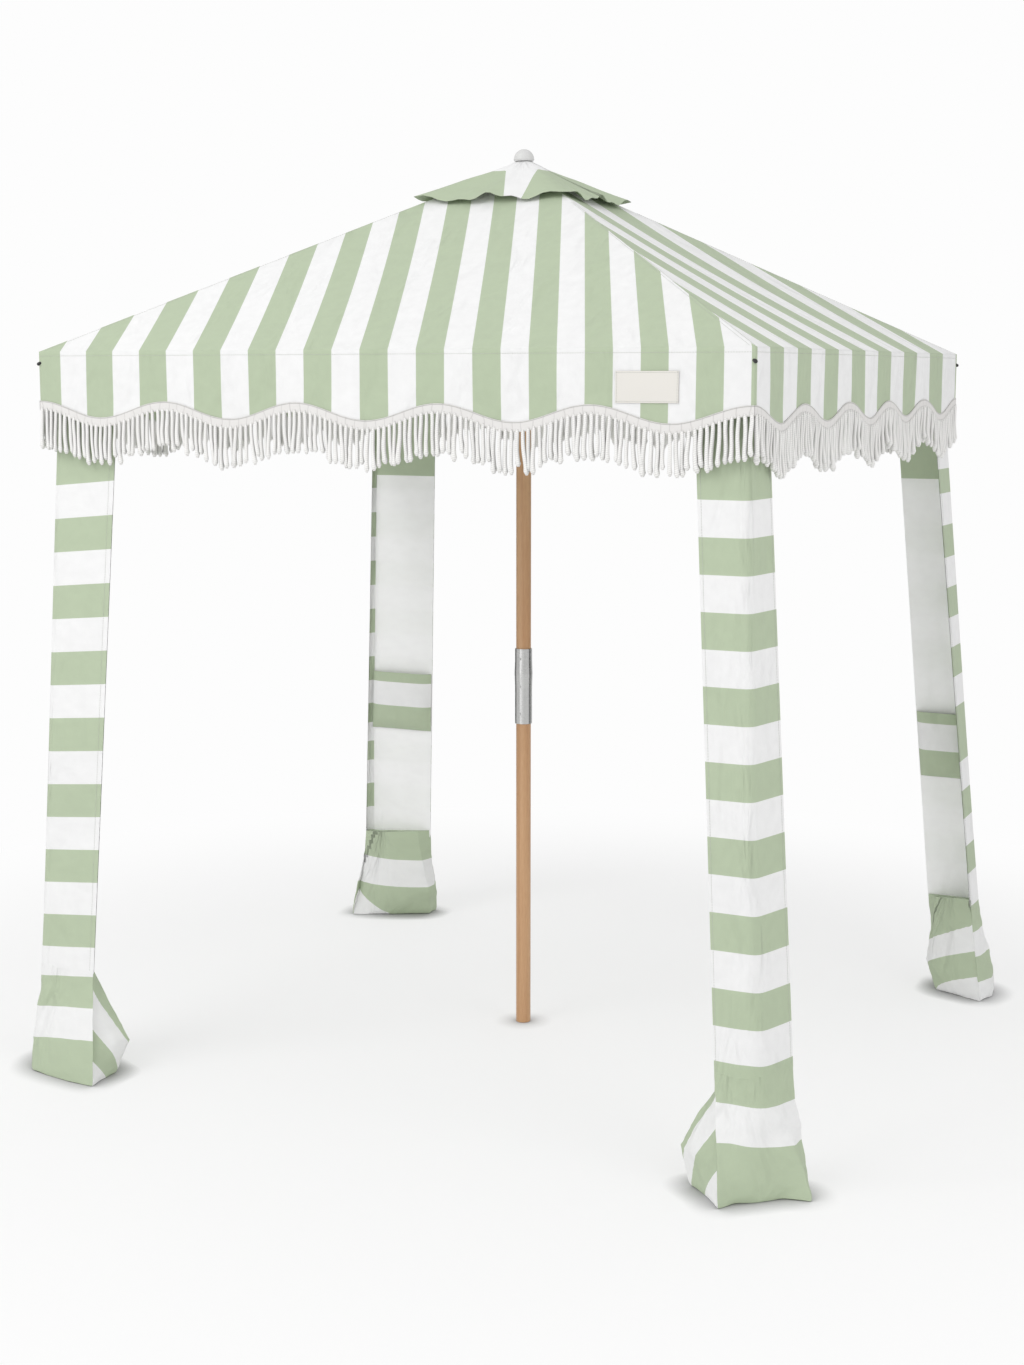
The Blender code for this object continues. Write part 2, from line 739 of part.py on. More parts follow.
def build_frame(ribs, struts):
    pieces = {
        "rib": (rib_mesh(), "fibreglass", ribs),
        "rib_bracket": (bracket_mesh(), "steel", ribs),
        "rib_tip": (rib_tip_mesh(), "black_plastic", ribs),
        "strut": (strut_mesh(), "fibreglass", struts),
    }
    crown_pivot = Vector((PIVOT_RADIUS, 0.0, CROWN_PIVOT_HEIGHT))
    bracket_pivot = on_rib(BRACKET_ALONG_RIB, BRACKET_DROP)
    for name, (mesh, material, axes) in pieces.items():
        pivot = bracket_pivot if name == "strut" else crown_pivot
        mesh.transform(Matrix.Translation(-pivot))
        for corner in CORNERS:
            thing = add_object(f"{name}_{corner}", mesh, material)
            thing.location = radial(corner, pivot.x, pivot.z)
            thing.rotation_euler.z = azimuth_of(corner)
            hang_on(thing, axes[corner])


# The runner


def thumb_height():
    return RUNNER_HEIGHT - RUNNER_SLEEVE_BELOW + RUNNER_COLLAR_HEIGHT / 2


def build_runner(runner_axis, screw_axis):
    bore = POLE_RADIUS + SLIDE_CLEARANCE
    sleeve = bore + RUNNER_SLEEVE_WALL
    collar = sleeve + RUNNER_COLLAR
    half = RUNNER_FLANGE_THICKNESS / 2
    top = RUNNER_HEIGHT + RUNNER_SLEEVE_ABOVE
    bottom = RUNNER_HEIGHT - RUNNER_SLEEVE_BELOW
    profile = [
        (bore, top),
        (sleeve, top),
        (sleeve, RUNNER_HEIGHT + half),
        (CROWN_RADIUS, RUNNER_HEIGHT + half),
        (CROWN_RADIUS, RUNNER_HEIGHT - half),
        (sleeve, RUNNER_HEIGHT - half),
        (sleeve, bottom + RUNNER_COLLAR_HEIGHT),
        (collar, bottom + RUNNER_COLLAR_HEIGHT - RUNNER_COLLAR),
        (collar, bottom),
        (bore, bottom),
    ]
    runner = add_object("runner", turned_mesh(profile, ring=True), "white_plastic")
    for corner in CORNERS:
        reach = half + OVERRUN
        low, high = RUNNER_HEIGHT - reach, RUNNER_HEIGHT + reach
        boolean(runner, slot_mesh(sleeve, CROWN_RADIUS + OVERRUN, low, high, CROWN_SLOT_WIDTH, corner))
    height = thumb_height()
    hole = cylinder_mesh(
        THUMB_STUD_RADIUS + THUMB_STUD_CLEARANCE,
        (0, POLE_RADIUS / 2, height),
        (0, collar + OVERRUN, height),
    )
    boolean(runner, hole)
    move_origin(runner, (0, 0, RUNNER_HEIGHT))
    hang_on(runner, runner_axis)

    tip = POLE_RADIUS + THUMB_STUD_CLEARANCE
    neck = collar + SEAM_GAP
    knob_start = neck + THUMB_NECK_LENGTH
    knob_end = knob_start + THUMB_KNOB_LENGTH
    stud = cylinder_mesh(THUMB_STUD_RADIUS, (0, tip, height), (0, knob_start + SEAM_GAP, height))
    thumb = add_object("runner_screw", stud, "black_plastic")
    neck_radius = THUMB_KNOB_RADIUS / 2
    boolean(thumb, cylinder_mesh(neck_radius, (0, neck, height), (0, knob_start + SEAM_GAP, height)), "UNION")
    boolean(thumb, knob_mesh(knob_start, knob_end, height), "UNION")
    move_origin(thumb, (0, neck, height))
    hang_on(thumb, screw_axis)


def knob_mesh(start, end, height):
    """A lobed thumb knob on the Y axis."""
    rows = []
    for place in (start, end):
        row = []
        for share in shares(6 * THUMB_LOBES)[:-1]:
            angle = 2 * math.pi * share
            wave = (1 + math.cos(THUMB_LOBES * angle)) / 2
            radius = THUMB_KNOB_RADIUS - THUMB_LOBE_DEPTH * (1 - wave)
            row.append((radius * math.cos(angle), place, height + radius * math.sin(angle)))
        rows.append(row)
    bm = bmesh.new()
    made = [[bm.verts.new(point) for point in row] for row in rows]
    count = len(rows[0])
    for n in range(count):
        after = (n + 1) % count
        bm.faces.new((made[0][n], made[0][after], made[1][after], made[1][n]))
    bm.faces.new(made[0])
    bm.faces.new(made[1])
    return mesh_of(bm, "knob")


# The canopy


def roof_point(sign_x, sign_y, share, across):
    """A point of one corner's roof: share runs down the slope, across from the front to the side.

    across runs from -1, the middle of the front or back, over 0, the rib, to 1, the middle of the side.
    """
    if across <= 0:
        x, y = HALF_WIDTH * share * (1 + across), HALF_DEPTH * share
    else:
        x, y = HALF_WIDTH * share, HALF_DEPTH * share * (1 - across)
    slack = math.sin(math.pi * share) * math.sin(math.pi * min(abs(across), 1) / 2) ** 2
    height = APEX_HEIGHT - ROOF_RISE * share - ROOF_SAG * slack
    return Vector((sign_x * max(x, SEAM_GAP), sign_y * max(y, SEAM_GAP), height))


def outward(point):
    """The way out of the tent, seen from the middle of its floor."""
    return Vector((point.x, point.y, abs(point.z) / 2)).normalized()


def build_roof(ribs):
    rows = [VENT_HALF_SHARE + (1 - VENT_HALF_SHARE) * s for s in shares(8)]
    for corner, (sign_x, sign_y) in CORNERS.items():
        points = [
            [roof_point(sign_x, sign_y, row, 2 * s - 1) for s in shares(12)]
            for row in rows
        ]
        mesh = grid_mesh(points, lambda point: Vector((0, 0, 1)))
        roof = solid_sheet(f"roof_{corner}", smooth(mesh), "green_cloth", ROOF_CLOTH)
        move_origin(roof, radial(corner, PIVOT_RADIUS, CROWN_PIVOT_HEIGHT))
        hang_on(roof, ribs[corner])


def cap_point(share, turn):
    """A point of the vent cap: share runs from the finial to the hem, turn once round the pole."""
    angle = 2 * math.pi * turn
    cosine, sine = math.cos(angle), math.sin(angle)
    square = 1 / max(abs(cosine), abs(sine))
    roundness = square ** min(1.0, 2 * share)
    x = HALF_WIDTH * CAP_HALF_SHARE * share * roundness * cosine
    y = HALF_DEPTH * CAP_HALF_SHARE * share * roundness * sine
    top = crown_top() + CAP_CLOTH + SEAM_GAP
    hem = APEX_HEIGHT - ROOF_RISE * CAP_HALF_SHARE + CAP_LIFT
    level = CAP_LEVEL_RADIUS / (HALF_DEPTH * CAP_HALF_SHARE)
    slope = max(0.0, share - level) / (1 - level)
    waves = 4 * CAP_RIPPLES_A_SIDE
    ripple = CAP_RIPPLE * share ** 3 * math.cos(waves * angle)
    return Vector((x, y, top - (top - hem) * slope + ripple))


def build_vent_cap(upper_axis):
    hole = (FINIAL_STUD_RADIUS + FINIAL_STUD_CLEARANCE) / (HALF_DEPTH * CAP_HALF_SHARE)
    level = CAP_LEVEL_RADIUS / (HALF_DEPTH * CAP_HALF_SHARE)
    rows = [hole] + [level + (1 - level) * s for s in shares(4)]
    turns = shares(CAP_STEPS)[:-1]
    points = [[cap_point(row, turn + 1 / (2 * CAP_STEPS)) for turn in turns] for row in rows]
    mesh = grid_mesh(points, lambda point: Vector((0, 0, 1)), closed=True)
    cap = solid_sheet("vent_cap", smooth(mesh), "green_cloth", CAP_CLOTH)
    hang_on(cap, upper_axis)


def hem_drop(across):
    """How far the scalloped hem hangs below the eave, for a share along a side of the canopy."""
    return VALANCE_DROP + SCALLOP_DEPTH * (1 - math.cos(2 * math.pi * SCALLOPS_A_SIDE * across)) / 2


def skirt_path(sign_x, sign_y, steps, out=0.0):
    """Plan points and shares along the side, from the middle of the front over the corner."""
    half_x, half_y = HALF_WIDTH + out, HALF_DEPTH + out
    path = []
    for s in shares(steps):
        x = SEAM_GAP + (half_x - SEAM_GAP) * s
        path.append((sign_x * x, sign_y * half_y, (1 + s) / 2))
    for s in shares(steps)[1:]:
        y = half_y - (half_y - SEAM_GAP) * s
        path.append((sign_x * half_x, sign_y * y, (1 + s) / 2))
    return path


def skirt_outside(point):
    return Vector((point.x / HALF_WIDTH, point.y / HALF_DEPTH, 0)).normalized()


def build_valance(legs):
    steps = 4 * SCALLOPS_A_SIDE
    top = EAVE_HEIGHT - 2 * ROOF_CLOTH
    for corner, (sign_x, sign_y) in CORNERS.items():
        path = skirt_path(sign_x, sign_y, steps)
        rows = [
            [(x, y, top + (EAVE_HEIGHT - hem_drop(across) - top) * s) for x, y, across in path]
            for s in shares(2)
        ]
        mesh = grid_mesh(rows, skirt_outside)
        valance = solid_sheet(f"valance_{corner}", mesh, "green_cloth", VALANCE_CLOTH)
        start = turned_to(corner, on_rib(RIB_LENGTH - TIP_LENGTH))
        end = turned_to(corner, on_rib(RIB_LENGTH + TIP_LENGTH))
        boolean(valance, cylinder_mesh(TIP_NOSE_RADIUS + TIP_HOLE_CLEARANCE, start, end))
        move_origin(valance, leg_pivot(corner))
        hang_on(valance, legs[corner])


def build_fringe(legs):
    steps = 4 * SCALLOPS_A_SIDE
    for corner, (sign_x, sign_y) in CORNERS.items():
        path = skirt_path(sign_x, sign_y, steps, SEAM_GAP)
        tape_top = [
            (x, y, EAVE_HEIGHT - hem_drop(across) + TAPE_WIDTH - TAPE_OVER_HEM) for x, y, across in path
        ]
        ends = [
            (x, y, EAVE_HEIGHT - hem_drop(across) - TAPE_OVER_HEM - FRINGE_LENGTH) for x, y, across in path
        ]
        mesh = grid_mesh([tape_top, ends], skirt_outside)
        fringe = solid_sheet(f"fringe_{corner}", mesh, "fringe_cord", FRINGE_THICKNESS, outward=True)
        move_origin(fringe, leg_pivot(corner))
        hang_on(fringe, legs[corner])


def build_patch(leg):
    near = -HALF_DEPTH - SEAM_GAP
    size = (PATCH_WIDTH, PATCH_THICKNESS, PATCH_HEIGHT)
    centre = (PATCH_FROM_MIDDLE, near - PATCH_THICKNESS / 2, EAVE_HEIGHT - PATCH_BELOW_EAVE)
    patch = add_object("front_patch", box_mesh(size, centre), "white_cloth")
    move_origin(patch, leg_pivot("front_right"))
    hang_on(patch, leg)


def turned_to(corner, point):
    """A point of the XZ plane turned round the pole to a corner's rib."""
    return Matrix.Rotation(azimuth_of(corner), 3, "Z") @ Vector(point)


# The legs


def leg_pivot(corner):
    """The corner of the canopy where the leg and the valance hang from the rib's tip."""
    return turned_to(corner, on_rib(RIB_LENGTH))


def leg_corner(corner, height):
    """Distances of a leg's outer corner from the middle, along X and along Y."""
    share = 1 - height / EAVE_HEIGHT
    spread_x, spread_y = LEG_SPREADS[corner]
    return HALF_WIDTH + spread_x * share - LEG_INSET, HALF_DEPTH + spread_y * share - LEG_INSET


def pocket_share(height):
    """0 at and above the top of the sand pocket, 1 at the ground."""
    return max(0.0, 1 - height / SAND_POCKET_HEIGHT)


def leg_edges(corner, height):
    """The free edges of the front or back face and of the side face at a height."""
    low = 1 - height / EAVE_HEIGHT
    flare = pocket_share(height) ** 2
    edges = []
    for n in (0, 1):
        eave = Vector(LEG_EDGES_AT_EAVE[corner][n])
        straight = eave.lerp(Vector(LEG_EDGES_AT_GROUND[corner][n]), low)
        edges.append(straight.lerp(Vector(SAND_POCKET_EDGES[corner][n]), flare))
    return edges


def leg_section(corner, height, steps=4):
    """The leg's outer line at a height, as inward distances from its corner along X and Y.

    It runs from the free edge of the front or back face, round the corner, to that of the side face.
    """
    front, side = leg_edges(corner, height)
    low = max(0.0, 1 - height / KNEE_HEIGHT)
    radius = LEG_CORNER_RADIUS + (SAND_POCKET_CORNER_RADIUS - LEG_CORNER_RADIUS) * low**2
    bulge = LEG_BULGE * low**2 + (SAND_POCKET_BULGE - LEG_BULGE) * pocket_share(height) ** 1.5
    turns = []
    for edge in (front, side):
        turns.append(edge * min(radius, edge.length / 2) / edge.length)
    line = [front.lerp(turns[0], s) for s in shares(steps)[:-1]]
    line += [turns[0] * (1 - s) ** 2 + turns[1] * s**2 for s in shares(steps)]
    line += [turns[1].lerp(side, s) for s in shares(steps)[1:]]
    count = len(line) - 1
    pushed = []
    for n, point in enumerate(line):
        before, after = line[max(n - 1, 0)], line[min(n + 1, count)]
        along = (after - before).normalized()
        outside = Vector((along.y, -along.x))
        if outside.dot(front + side) > 0:
            outside = -outside
        pushed.append(tuple(point + outside * bulge * math.sin(math.pi * n / count)))
    return pushed


def placed(corner, height, line):
    """World points of a line given as inward distances from the leg's corner."""
    sign_x, sign_y = CORNERS[corner]
    corner_x, corner_y = leg_corner(corner, height)
    return [(sign_x * (corner_x - along), sign_y * (corner_y - across), height) for along, across in line]


def leg_outside(corner, height):
    sign_x, sign_y = CORNERS[corner]
    corner_x, corner_y = leg_corner(corner, height)
    edges = leg_edges(corner, height)
    middle = edges[0] + edges[1]
    inside = Vector((sign_x * (corner_x - middle.x), sign_y * (corner_y - middle.y), 0))
    return lambda point: (Vector((point.x, point.y, 0)) - inside).normalized()


def leg_top():
    """The leg is sewn to the roof a little way in from the eave."""
    slope = ROOF_RISE * LEG_INSET / HALF_WIDTH
    return EAVE_HEIGHT + slope - LEG_TOP_GAP


def build_legs(legs, feet):
    fold = KNEE_HEIGHT + KNEE_GAP / 2
    upper_rows = [fold + (leg_top() - fold) * s for s in shares(3)]
    bottom = SAND_POCKET_HEIGHT + SEAM_GAP
    lower_rows = [bottom + (KNEE_HEIGHT - KNEE_GAP / 2 - bottom) * s for s in shares(6)]
    for corner in CORNERS:
        outside = leg_outside(corner, KNEE_HEIGHT)
        mesh = grid_mesh([placed(corner, h, leg_section(corner, h)) for h in upper_rows], outside)
        upper = solid_sheet(f"leg_upper_{corner}", mesh, "green_cloth", LEG_CLOTH)
        boolean(upper, rib_notch_mesh(corner))
        move_origin(upper, leg_pivot(corner))
        hang_on(upper, legs[corner])

        mesh = grid_mesh([placed(corner, h, leg_section(corner, h)) for h in lower_rows], outside)
        lower = solid_sheet(f"leg_lower_{corner}", mesh, "green_cloth", LEG_CLOTH)
        move_origin(lower, knee_pivot(corner))
        hang_on(lower, feet[corner])


def rib_notch_mesh(corner):
    """An upright slot in the leg's top corner, in which the rib swings."""
    half = RIB_RADIUS + RIB_NOTCH_CLEARANCE
    inner = RIB_TIP_RADIUS - 4 * LEG_INSET
    outer = RIB_TIP_RADIUS + OVERRUN
    low = on_rib(RIB_LENGTH).z - RIB_NOTCH_BELOW
    return slot_mesh(inner, outer, low, leg_top() + OVERRUN, 2 * half, corner)


def knee_pivot(corner):
    """The outermost point of the leg's corner at the height where it folds."""
    corner_x, corner_y = leg_corner(corner, KNEE_HEIGHT)
    sign_x, sign_y = CORNERS[corner]
    return Vector((sign_x * corner_x, sign_y * corner_y, KNEE_HEIGHT))


def pocket_section(corner, height, steps=6):
    """A closed ring round the sand pocket: the leg's outer line, then the wall on the inner side."""
    share = pocket_share(height)
    front, side = leg_edges(corner, height)
    top_front = leg_edges(corner, SAND_POCKET_HEIGHT)[0]
    mouth_ear = top_front * (1 - SAND_POCKET_MOUTH / top_front.length) + Vector((0, SAND_POCKET_MOUTH))
    full_ear, foot_ear = (Vector(ear) for ear in SAND_POCKET_EARS[corner])
    full_share = SAND_POCKET_FULL_SHARE
    fullness = math.sin(math.pi * share ** (math.log(1 / 2) / math.log(full_share)))
    ear = mouth_ear.lerp(foot_ear, share) + (full_ear - mouth_ear.lerp(foot_ear, full_share)) * fullness
    mouth_belly = 2 * SAND_POCKET_MOUTH
    foot_belly = SAND_POCKET_FOOT_BELLY - mouth_belly
    belly = mouth_belly + foot_belly * share
    belly += (SAND_POCKET_BELLY - mouth_belly - foot_belly * full_share) * fullness
    middle = Vector((belly, belly))
    outer = leg_section(corner, height)
    inner = [side * (1 - s) ** 2 + middle * 2 * s * (1 - s) + ear * s**2 for s in shares(steps)]
    return outer + [tuple(point) for point in inner[1:]] + [tuple(ear.lerp(front, 1 / 2))]


def build_sand_pockets(feet):
    rows = [SAND_POCKET_HEIGHT * s for s in reversed(shares(7))]
    for corner in CORNERS:
        points = [placed(corner, h, pocket_section(corner, h)) for h in rows]
        centre = sum((Vector(point) for point in points[3]), Vector()) / len(points[3])

        def outside(point, centre=centre):
            return (point - centre).normalized()

        mesh = grid_mesh(points, outside, closed=True, capped=True)
        pocket = solid_sheet(f"sand_pocket_{corner}", smooth(mesh), "green_cloth", SAND_POCKET_WALL)
        move_origin(pocket, knee_pivot(corner))
        hang_on(pocket, feet[corner])


def store_line(corner, height, depth):
    """A ring round a storage pocket that lies on the inner side of the front or back face."""
    edge = leg_edges(corner, height)[0]
    along = edge.normalized()
    inward = Vector((-along.y, along.x))
    start = LEG_CORNER_RADIUS + STORE_SIDE_MARGIN
    width = edge.length - STORE_SIDE_MARGIN - start
    back = LEG_CLOTH + SEAM_GAP
    low = max(0.0, 1 - height / KNEE_HEIGHT)
    back -= LEG_BULGE * low**2 / 4
    ring_shares = [(0, 0), (1, 0), (1, 2 / 3), (3 / 4, 1), (1 / 2, 1), (1 / 4, 1), (0, 2 / 3)]
    return [tuple(along * (start + width * s) + inward * (back + depth * d)) for s, d in ring_shares]


def build_storage_pockets(feet):
    bottom = STORE_TOP - STORE_HEIGHT
    for corner in CORNERS:
        rows = []
        for share in reversed(shares(6)):
            height = bottom + STORE_HEIGHT * share
            depth = STORE_DEPTH * (0.8 + 0.2 * math.sin(math.pi * share))
            rows.append(placed(corner, height, store_line(corner, height, depth)))
        centre = sum((Vector(point) for row in rows for point in row), Vector()) / (7 * len(rows))

        def outside(point, centre=centre):
            return (point - centre).normalized()

        mesh = grid_mesh(rows, outside, closed=True, capped=True)
        pocket = solid_sheet(f"storage_pocket_{corner}", mesh, "white_cloth", STORE_CLOTH)
        move_origin(pocket, knee_pivot(corner))
        hang_on(pocket, feet[corner])


def main():
    lower_axis = add_empty("lower_pole_axis", (0, 0, 0))
    upper_axis = add_empty("upper_pole_axis", (0, 0, POLE_SEAM))
    runner_axis = add_empty("runner_axis", (0, 0, RUNNER_HEIGHT))
    collar = POLE_RADIUS + SLIDE_CLEARANCE + RUNNER_SLEEVE_WALL + RUNNER_COLLAR
    screw_axis = add_empty("runner_screw_axis", (0, collar, thumb_height()))
    ribs = {c: add_empty(f"rib_axis_{c}", radial(c, PIVOT_RADIUS, CROWN_PIVOT_HEIGHT)) for c in CORNERS}
    bracket = on_rib(BRACKET_ALONG_RIB, BRACKET_DROP)
    struts = {c: add_empty(f"strut_axis_{c}", turned_to(c, bracket)) for c in CORNERS}
    legs = {c: add_empty(f"leg_axis_{c}", leg_pivot(c)) for c in CORNERS}
    feet = {c: add_empty(f"knee_axis_{c}", knee_pivot(c)) for c in CORNERS}
    for child, parent in ((upper_axis, lower_axis), (runner_axis, upper_axis), (screw_axis, runner_axis)):
        hang_on(child, parent)
    for corner in CORNERS:
        hang_on(ribs[corner], upper_axis)
        hang_on(struts[corner], ribs[corner])
        hang_on(legs[corner], ribs[corner])
        hang_on(feet[corner], legs[corner])

    build_pole(lower_axis, upper_axis)
    build_crown(upper_axis)
    build_finial(upper_axis)
    build_frame(ribs, struts)
    build_runner(runner_axis, screw_axis)
    build_roof(ribs)
    build_vent_cap(upper_axis)
    build_valance(legs)
    build_fringe(legs)
    build_patch(legs["front_right"])
    build_legs(legs, feet)
    build_sand_pockets(feet)
    build_storage_pockets(feet)


main()
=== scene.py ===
"""Looks of the striped beach tent: cloth, fringe, sand pockets, finishes and a pale photo studio.

Lengths are in metres. The origin is the pole's foot on the ground, +Z is up, +X runs along the wide
front and +Y points from the front to the back.
"""

from __future__ import annotations

import json
import logging
import math
import random
from collections.abc import Callable, Sequence
from dataclasses import dataclass, field
from enum import Enum

import bmesh
import bpy
from bpy.types import Material, Mesh, Node, NodeSocket, NodeTree, Object
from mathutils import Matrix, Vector, noise

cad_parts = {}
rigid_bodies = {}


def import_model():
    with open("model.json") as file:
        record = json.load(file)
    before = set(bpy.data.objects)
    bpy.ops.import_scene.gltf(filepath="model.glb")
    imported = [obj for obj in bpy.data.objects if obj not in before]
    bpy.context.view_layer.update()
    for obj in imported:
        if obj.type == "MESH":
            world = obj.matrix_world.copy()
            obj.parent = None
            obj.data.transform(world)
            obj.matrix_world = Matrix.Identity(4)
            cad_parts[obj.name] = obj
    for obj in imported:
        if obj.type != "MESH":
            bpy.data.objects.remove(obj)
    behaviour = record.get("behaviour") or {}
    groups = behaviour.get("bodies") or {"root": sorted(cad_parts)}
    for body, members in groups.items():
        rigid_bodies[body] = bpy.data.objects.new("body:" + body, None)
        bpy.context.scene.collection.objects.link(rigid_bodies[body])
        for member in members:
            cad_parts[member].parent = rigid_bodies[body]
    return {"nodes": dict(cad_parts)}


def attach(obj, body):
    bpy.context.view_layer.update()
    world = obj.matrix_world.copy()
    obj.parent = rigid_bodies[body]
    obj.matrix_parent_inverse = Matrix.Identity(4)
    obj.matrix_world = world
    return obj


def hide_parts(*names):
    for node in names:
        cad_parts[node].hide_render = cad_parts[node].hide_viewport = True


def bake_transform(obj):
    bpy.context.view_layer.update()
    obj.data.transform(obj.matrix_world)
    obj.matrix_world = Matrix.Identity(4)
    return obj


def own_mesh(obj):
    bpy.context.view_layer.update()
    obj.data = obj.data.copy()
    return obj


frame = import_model()
LOG = logging.getLogger("beach_tent")
UP = Vector((0, 0, 1))
# Share of its flat box that a cut sheet fills at the least.
LEAST_FILL = 0.301
# Stripe number of plain pieces.
WHITE = 1.5
SHADER = "Principled BSDF"

Point = Callable[[float, float], Vector]
Value = Callable[[float, float], float]
Pair = tuple[float, float]
Triple = tuple[float, float, float]
Inputs = dict[str | int, object]


class Corner(Enum):
    """The four corners, with the signs of their X and Y."""

    FRONT_LEFT = (-1, -1)
    FRONT_RIGHT = (1, -1)
    BACK_RIGHT = (1, 1)
    BACK_LEFT = (-1, 1)

    @property
    def label(self) -> str:
        """The corner's name in the frame."""
        return self.name.lower()

    @property
    def x(self) -> int:
        """Sign of the corner's X."""
        return self.value[0]

    @property
    def y(self) -> int:
        """Sign of the corner's Y."""
        return self.value[1]


class Face(Enum):
    """The faces of the canopy that meet in a corner."""

    WIDE = "wide"
    SIDE = "side"

    @property
    def other(self) -> Face:
        """The face that meets this one in the corner."""
        return Face.SIDE if self is Face.WIDE else Face.WIDE

    def outward(self, corner: Corner) -> Vector:
        """The level way out of this face at a corner."""
        return Vector((0, corner.y, 0)) if self is Face.WIDE else Vector((corner.x, 0, 0))


def within(value: float, high: float = 1.0) -> float:
    """A value kept between 0 and high."""
    return min(max(value, 0.0), high)


def below(height: float, level: float) -> float:
    """Share of the way down from a level to the ground, 0 above the level."""
    return max(0.0, 1 - height / level)


def spread(count: int, low: float = 0.0, high: float = 1.0) -> list[float]:
    """Even values from low to high."""
    return [low + (high - low) * n / count for n in range(count + 1)]


def between(knots: Sequence[Pair], at: float) -> float:
    """The value at a place on a line through knots, which runs on straight beyond its ends."""
    ordered = sorted(knots)
    n = 1
    while n < len(ordered) - 1 and at > ordered[n][0]:
        n += 1
    (low, first), (high, second) = ordered[n - 1], ordered[n]
    return first + (second - first) * (at - low) / (high - low)


def polynomial(factors: Sequence[float], at: float) -> float:
    """The sum of the factors times the rising powers of a value."""
    return sum(factor * at**power for power, factor in enumerate(factors))


@dataclass(frozen=True)
class Tent:
    """Sizes of the canopy, the legs and their pockets."""

    half_width: float = 0.90
    half_depth: float = 0.78
    eave: float = 1.745
    rise: float = 0.465
    sag: float = 0.012
    vent_share: float = 0.12
    roof_cloth: float = 0.0015
    cap_share: float = 0.235
    cap_lift: float = 0.016
    cap_level: float = 0.016
    crown_top: float = 2.214
    drop: float = 0.135
    scallop: float = 0.038
    scallops: int = 5
    tape: float = 0.022
    tape_over: float = 0.002
    fringe: float = 0.097
    cord_spacing: float = 0.0138
    wide_bands: tuple[float, ...] = (12.18893, 14.03499, 1.19104, 0.47361)
    wide_fan: Triple = (0.597, 0.23573, 0.07868)
    side_bands: tuple[float, ...] = (9.42647, 9.65537, -1.44014)
    side_lean: float = 0.26
    corner_pull: Pair = (0.19, 0.05)
    leg_inset: float = 0.029
    leg_cloth: float = 0.002
    corner_radius: float = 0.022
    leg_bulge: float = 0.014
    knee: float = 0.870
    edge_flares: Pair = (1.3, 2)
    pocket_height: float = 0.255
    pocket_radius: float = 0.060
    pocket_bulge: float = 0.036
    pocket_mouth: float = 0.030
    pocket_full_share: float = 0.68
    pocket_belly: float = 0.115
    pocket_foot_belly: float = 0.090
    store_top: float = 0.775
    store_height: float = 0.181
    store_depth: float = 0.020
    store_margin: float = 0.006
    store_bands: Pair = (0.029, 0.104)

    @property
    def apex(self) -> float:
        """Height at which the four roof faces would meet."""
        return self.eave + self.rise

    def half(self, face: Face) -> float:
        """Half the length of a face's eave."""
        return self.half_width if face is Face.WIDE else self.half_depth

    def hem(self, along: float) -> float:
        """Height of the scalloped hem, along from the middle of a face, 0, to its corner, 1."""
        wave = (1 - math.cos(math.tau * self.scallops * ((1 + along) / 2))) / 2
        return self.eave - self.drop - self.scallop * wave

    def stripe(self, corner: Corner, face: Face, x: float, y: float) -> float:
        """Stripe number of the canopy, where the back and the left are the front and the right turned round.

        Args:
            corner: the nearest corner.
            face: the wide or the side face.
            x: place across the tent.
            y: place from front to back.

        Returns:
            The number, even for green and odd for white.
        """
        turned = -corner.y if face is Face.WIDE else corner.x
        x, y = turned * x, turned * y
        if face is Face.WIDE:
            reach, shift, narrowing = self.wide_fan
            back = (y + self.half_depth) / reach
            return polynomial(self.wide_bands, (x + shift * back) / (1 - narrowing * back))
        across = y - self.side_lean * (self.half_width - x)
        pull, reach = self.corner_pull
        local = pull * math.exp(-max(across + self.half_depth, 0.0) / reach)
        return polynomial(self.side_bands, across) - local

    def radius_at(self, height: float) -> float:
        """Radius of a leg's outer corner at a height."""
        return self.corner_radius + (self.pocket_radius - self.corner_radius) * below(height, self.knee) ** 2


@dataclass(frozen=True)
class LegPlan:
    """Plan and stripes of one leg. Plan points are inward distances from its corner, along X and Y.

    Attributes:
        spread: how far the corner stands out at the ground.
        eave: free edges of the wide and the side face at the eave.
        ground: the same edges where their lines meet the ground.
        base: outer line of the sand pocket on the ground, from the wide to the side face's edge.
        ears: fold of the pocket's inner wall where it is fullest, and on the ground.
        bands: heights with their stripe numbers.
        first: lowest stripe number, at the top.
        tilt_share: rise of the bands across the wide face.
        level: how much of the cloth's turn away from the wide face's edge lowers the pocket's bands.
        flare: how late the pocket widens to its base; a high power widens it close to the ground.
        ear_curve: power of the ear's way out, 1 for a straight fold.
        mouth_rise: rise of the pocket's mouth at the side face and at the wide face.
        gusset: heights with their stripe numbers on the pocket's gusset, next to the wide face, where
            the bands run with its outer edge. Without it the gusset goes on with the wall's bands.
        gusset_fall: how far the gusset's bands fall to its ear.
        wall: heights with their stripe numbers on the pocket's inner wall, next to the side face.
        wall_drop: fall of the wall's bands to its ear.
        white_corner: height and share of the wall of a white corner low down.
    """

    spread: Pair
    eave: tuple[Pair, Pair]
    ground: tuple[Pair, Pair]
    base: tuple[Pair, ...]
    ears: tuple[Pair, Pair]
    bands: tuple[Pair, ...]
    first: float = 0.3
    tilt_share: float = 0.0
    level: float = 0.0
    flare: float = 2.4
    ear_curve: float = 1.0
    mouth_rise: Pair = (0.0, 0.0)
    gusset: tuple[Pair, ...] = ()
    gusset_fall: float = 0.074
    wall: tuple[Pair, ...] = ((0.255, 16.0), (0.185, 17.0), (0.115, 18.0), (0.0, 18.9))
    wall_drop: float = 0.0
    white_corner: Pair = (0.0, 1.0)


